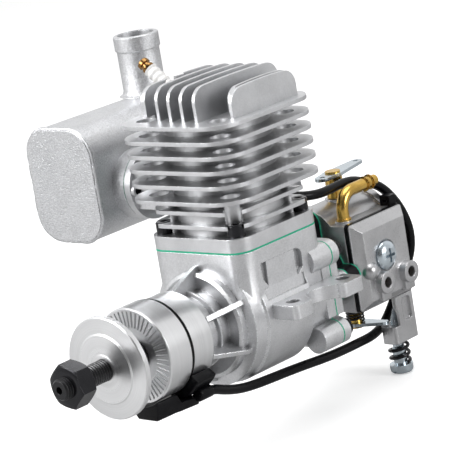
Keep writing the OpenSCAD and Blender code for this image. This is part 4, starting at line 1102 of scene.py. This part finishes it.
@dataclass
class SensorLead:
    """Lead of the sensor, with its clip and connector."""

    diameter: float = 3.2 * MM
    cuts: int = 4  # points of the curve for each point of the route
    route: tuple[Point, ...] = (
        (11.2, -42.4, -16.6), (11.1, -38.6, -17.2), (10.7, -34, -18.9), (10.2, -29, -20.5), (10, -24, -21.6),
        (10, -18, -22.3), (10, -11, -22.8), (10, -3, -23.3), (10, 5, -23.9), (10, 13, -24.6),
        (9.6, 21, -25.3), (9, 29, -25.8), (8.2, 36, -26.2), (7.2, 43, -26.6), (6.2, 49, -26.2),
        (5.2, 54.5, -24.6), (5.2, 59, -20.8), (6.4, 62.8, -15), (8.6, 65.4, -9), (10.6, 67, -2.6),
        (11.4, 67.2, 4), (11, 65.8, 10.4), (9.9, 63, 16.6), (8.2, 58.8, 22), (6.6, 52.8, 25.2),
        (6.2, 47.4, 27), (6.4, 41.4, 27.6), (7, 35, 27.6), (7.2, 28.6, 27.8), (5.8, 22.8, 28.6),
        (2, 18.8, 29.8), (-3.4, 17.2, 30.8), (-8.8, 17.8, 30.8), (-13.6, 20.2, 29.8), (-17.2, 24.6, 28),
        (-19.2, 30, 25.4), (-19.8, 35.2, 21.6), (-19.8, 39, 16.8), (-19.8, 41.4, 11.6), (-19.8, 41.4, 8.02))

    def smooth_route(self) -> list[Vector]:
        """The route as a smooth curve through all its points, which are in millimetres.

        Returns:
            Points along the curve, in metres.
        """
        points = [Vector(p) * MM for p in self.route]
        made = []
        for i in range(len(points) - 1):
            before = points[max(i - 1, 0)]
            first, second = points[i], points[i + 1]
            after = points[min(i + 2, len(points) - 1)]
            for step in range(self.cuts):
                t = step / self.cuts
                made.append(0.5 * (2 * first + (second - before) * t
                                   + (2 * before - 5 * first + 4 * second - after) * t * t
                                   + (3 * first - before - 3 * second + after) * t ** 3))
        made.append(points[-1])
        return made

    def build(self) -> None:
        """Dress the clip and the connector, and lay the lead."""
        dress_all(PLASTIC, Slot.PLASTIC, "lead_clip lead_connector")
        points = self.smooth_route()
        length = sum((b - a).length for a, b in zip(points, points[1:]))
        jacket = swept(points, self.diameter / 2, 12)
        lead = Shop.piece(jacket, "lead_jacket", RUBBER, Slot.RUBBER, "engine", ("sensor_lead",), sharp=60.0)
        log.info("lead length %.3f m", length)


@dataclass(frozen=True)
class Lamp:
    """A soft square lamp: its place and side in metres, its power in watts."""

    name: str
    place: Point
    size: float
    power: float


@dataclass
class Studio:
    """Camera, lamps, floor and world."""

    floor_z: float = -41.2 * MM
    floor_size: float = 3.0
    floor_glow: tuple[float, float] = (0.08, 0.42)  # for other rays, and for the camera's
    floor_white: tuple[float, float] = (0.4, 0.92)
    diffuse_light: tuple[float, float] = (0.42, 0.2)  # behind the engine, and on the camera's side
    mirror_light: tuple[float, float] = (0.9, 0.1)
    lens: float = 203.3
    sensor_width: float = 36.0
    clip: tuple[float, float] = (0.05, 20.0)
    camera_right: Point = (0.73779, 0.65524, -0.16228)
    camera_up: Point = (-0.03472, 0.27692, 0.96026)
    camera_place: Point = (0.550041, -0.583666, 0.213275)
    camera_side: Point = (0.66, -0.72, -0.2)  # where the world is dimmer
    lamp_target: Point = (-0.01, 0.0, 0.02)
    lamps: tuple[Lamp, ...] = (
        Lamp("key", (-0.45, -0.9, 0.6), 0.65, 11.6),
        Lamp("side", (1.0, 0.2, 0.35), 0.45, 4.6),
        Lamp("top", (0.1, 0.1, 1.1), 0.8, 5.0))

    def camera(self) -> None:
        """Place the camera that was solved from the photo."""
        data = bpy.data.cameras.new("camera")
        data.lens = self.lens
        data.sensor_width = self.sensor_width
        data.clip_start, data.clip_end = self.clip
        camera = bpy.data.objects.new("camera", data)
        right = Vector(self.camera_right)
        up = Vector(self.camera_up)
        back = right.cross(up).normalized()
        matrix = Matrix((right, up, back)).transposed().to_4x4()
        matrix.translation = Vector(self.camera_place)
        camera.matrix_world = matrix
        bpy.context.scene.collection.objects.link(camera)
        bpy.context.scene.camera = camera

    def hang(self, lamp: Lamp) -> None:
        """Hang a lamp that points at the engine.

        Args:
            lamp: What it is like.
        """
        data = bpy.data.lights.new(lamp.name, "AREA")
        data.size = lamp.size
        data.energy = lamp.power
        made = bpy.data.objects.new(lamp.name, data)
        made.location = lamp.place
        made.rotation_mode = "QUATERNION"
        aim = Vector(self.lamp_target) - Vector(lamp.place)
        made.rotation_quaternion = aim.to_track_quat("-Z", "Y")
        bpy.context.scene.collection.objects.link(made)

    def world(self) -> None:
        """A studio: white behind the object, dimmer on the side of the camera."""
        world = bpy.data.worlds.new("studio")
        bpy.context.scene.world = world
        world.use_nodes = True
        sheet = NodeSheet(world.node_tree)
        direction = sheet.node("ShaderNodeTexCoord", output="Generated")
        toward = sheet.dot(direction, self.camera_side)
        seen = sheet.node("ShaderNodeLightPath", output="Is Camera Ray")
        glossy = Wire(sheet, seen.socket.node.outputs["Is Glossy Ray"])
        refracted = Wire(sheet, seen.socket.node.outputs["Is Transmission Ray"])
        mirrored = (glossy + refracted).span(0, 1)
        diffuse = toward.span(-0.3, 0.8, *self.diffuse_light)
        mirror = toward.span(-0.4, 0.6, *self.mirror_light)
        unseen = mirrored * mirror + (1.0 - mirrored) * diffuse
        strength = seen + (1.0 - seen) * unseen
        back = sheet.node("ShaderNodeBackground", {}, {"Color": (1.0, 1.0, 1.0), "Strength": strength})
        out = world.node_tree.nodes.new("ShaderNodeOutputWorld")
        world.node_tree.links.new(back.socket, out.inputs["Surface"])

    def floor(self) -> None:
        """Lay a pale floor that keeps the object's shadow."""
        bm = bmesh.new()
        bmesh.ops.create_grid(bm, x_segments=1, y_segments=1, size=self.floor_size)
        bmesh.ops.translate(bm, verts=bm.verts, vec=(0, 0, self.floor_z))
        mesh = bpy.data.meshes.new("floor")
        bm.to_mesh(mesh)
        bm.free()
        floor = bpy.data.objects.new("floor", mesh)
        bpy.context.scene.collection.objects.link(floor)
        material = bpy.data.materials.new("pale_floor")
        material.use_nodes = True
        sheet = NodeSheet(material.node_tree)
        seen = sheet.node("ShaderNodeLightPath", output="Is Camera Ray")
        glow = sheet.mix(seen, *(grey(level) for level in self.floor_glow))
        white = sheet.mix(seen, *(grey(level) for level in self.floor_white))
        sheet.surface(Base_Color=white, Roughness=0.6, Emission_Color=glow, Emission_Strength=1.0)
        mesh.materials.append(material)

    def build(self) -> None:
        """Set up the whole studio."""
        bpy.context.scene.view_settings.view_transform = "Standard"
        self.camera()
        self.world()
        self.floor()
        for lamp in self.lamps:
            self.hang(lamp)


def main() -> None:
    """Build the studio and each unit of the engine."""
    Studio().build()
    for unit in (SensorLead(), HubSensor(), CrankUnit(), PropellerDrive(), CylinderUnit(), MufflerUnit(),
                 IntakeUnit(), Carburettor()):
        log.info("building %s", type(unit).__name__)
        unit.build()


if __name__ == "__main__":
    main()
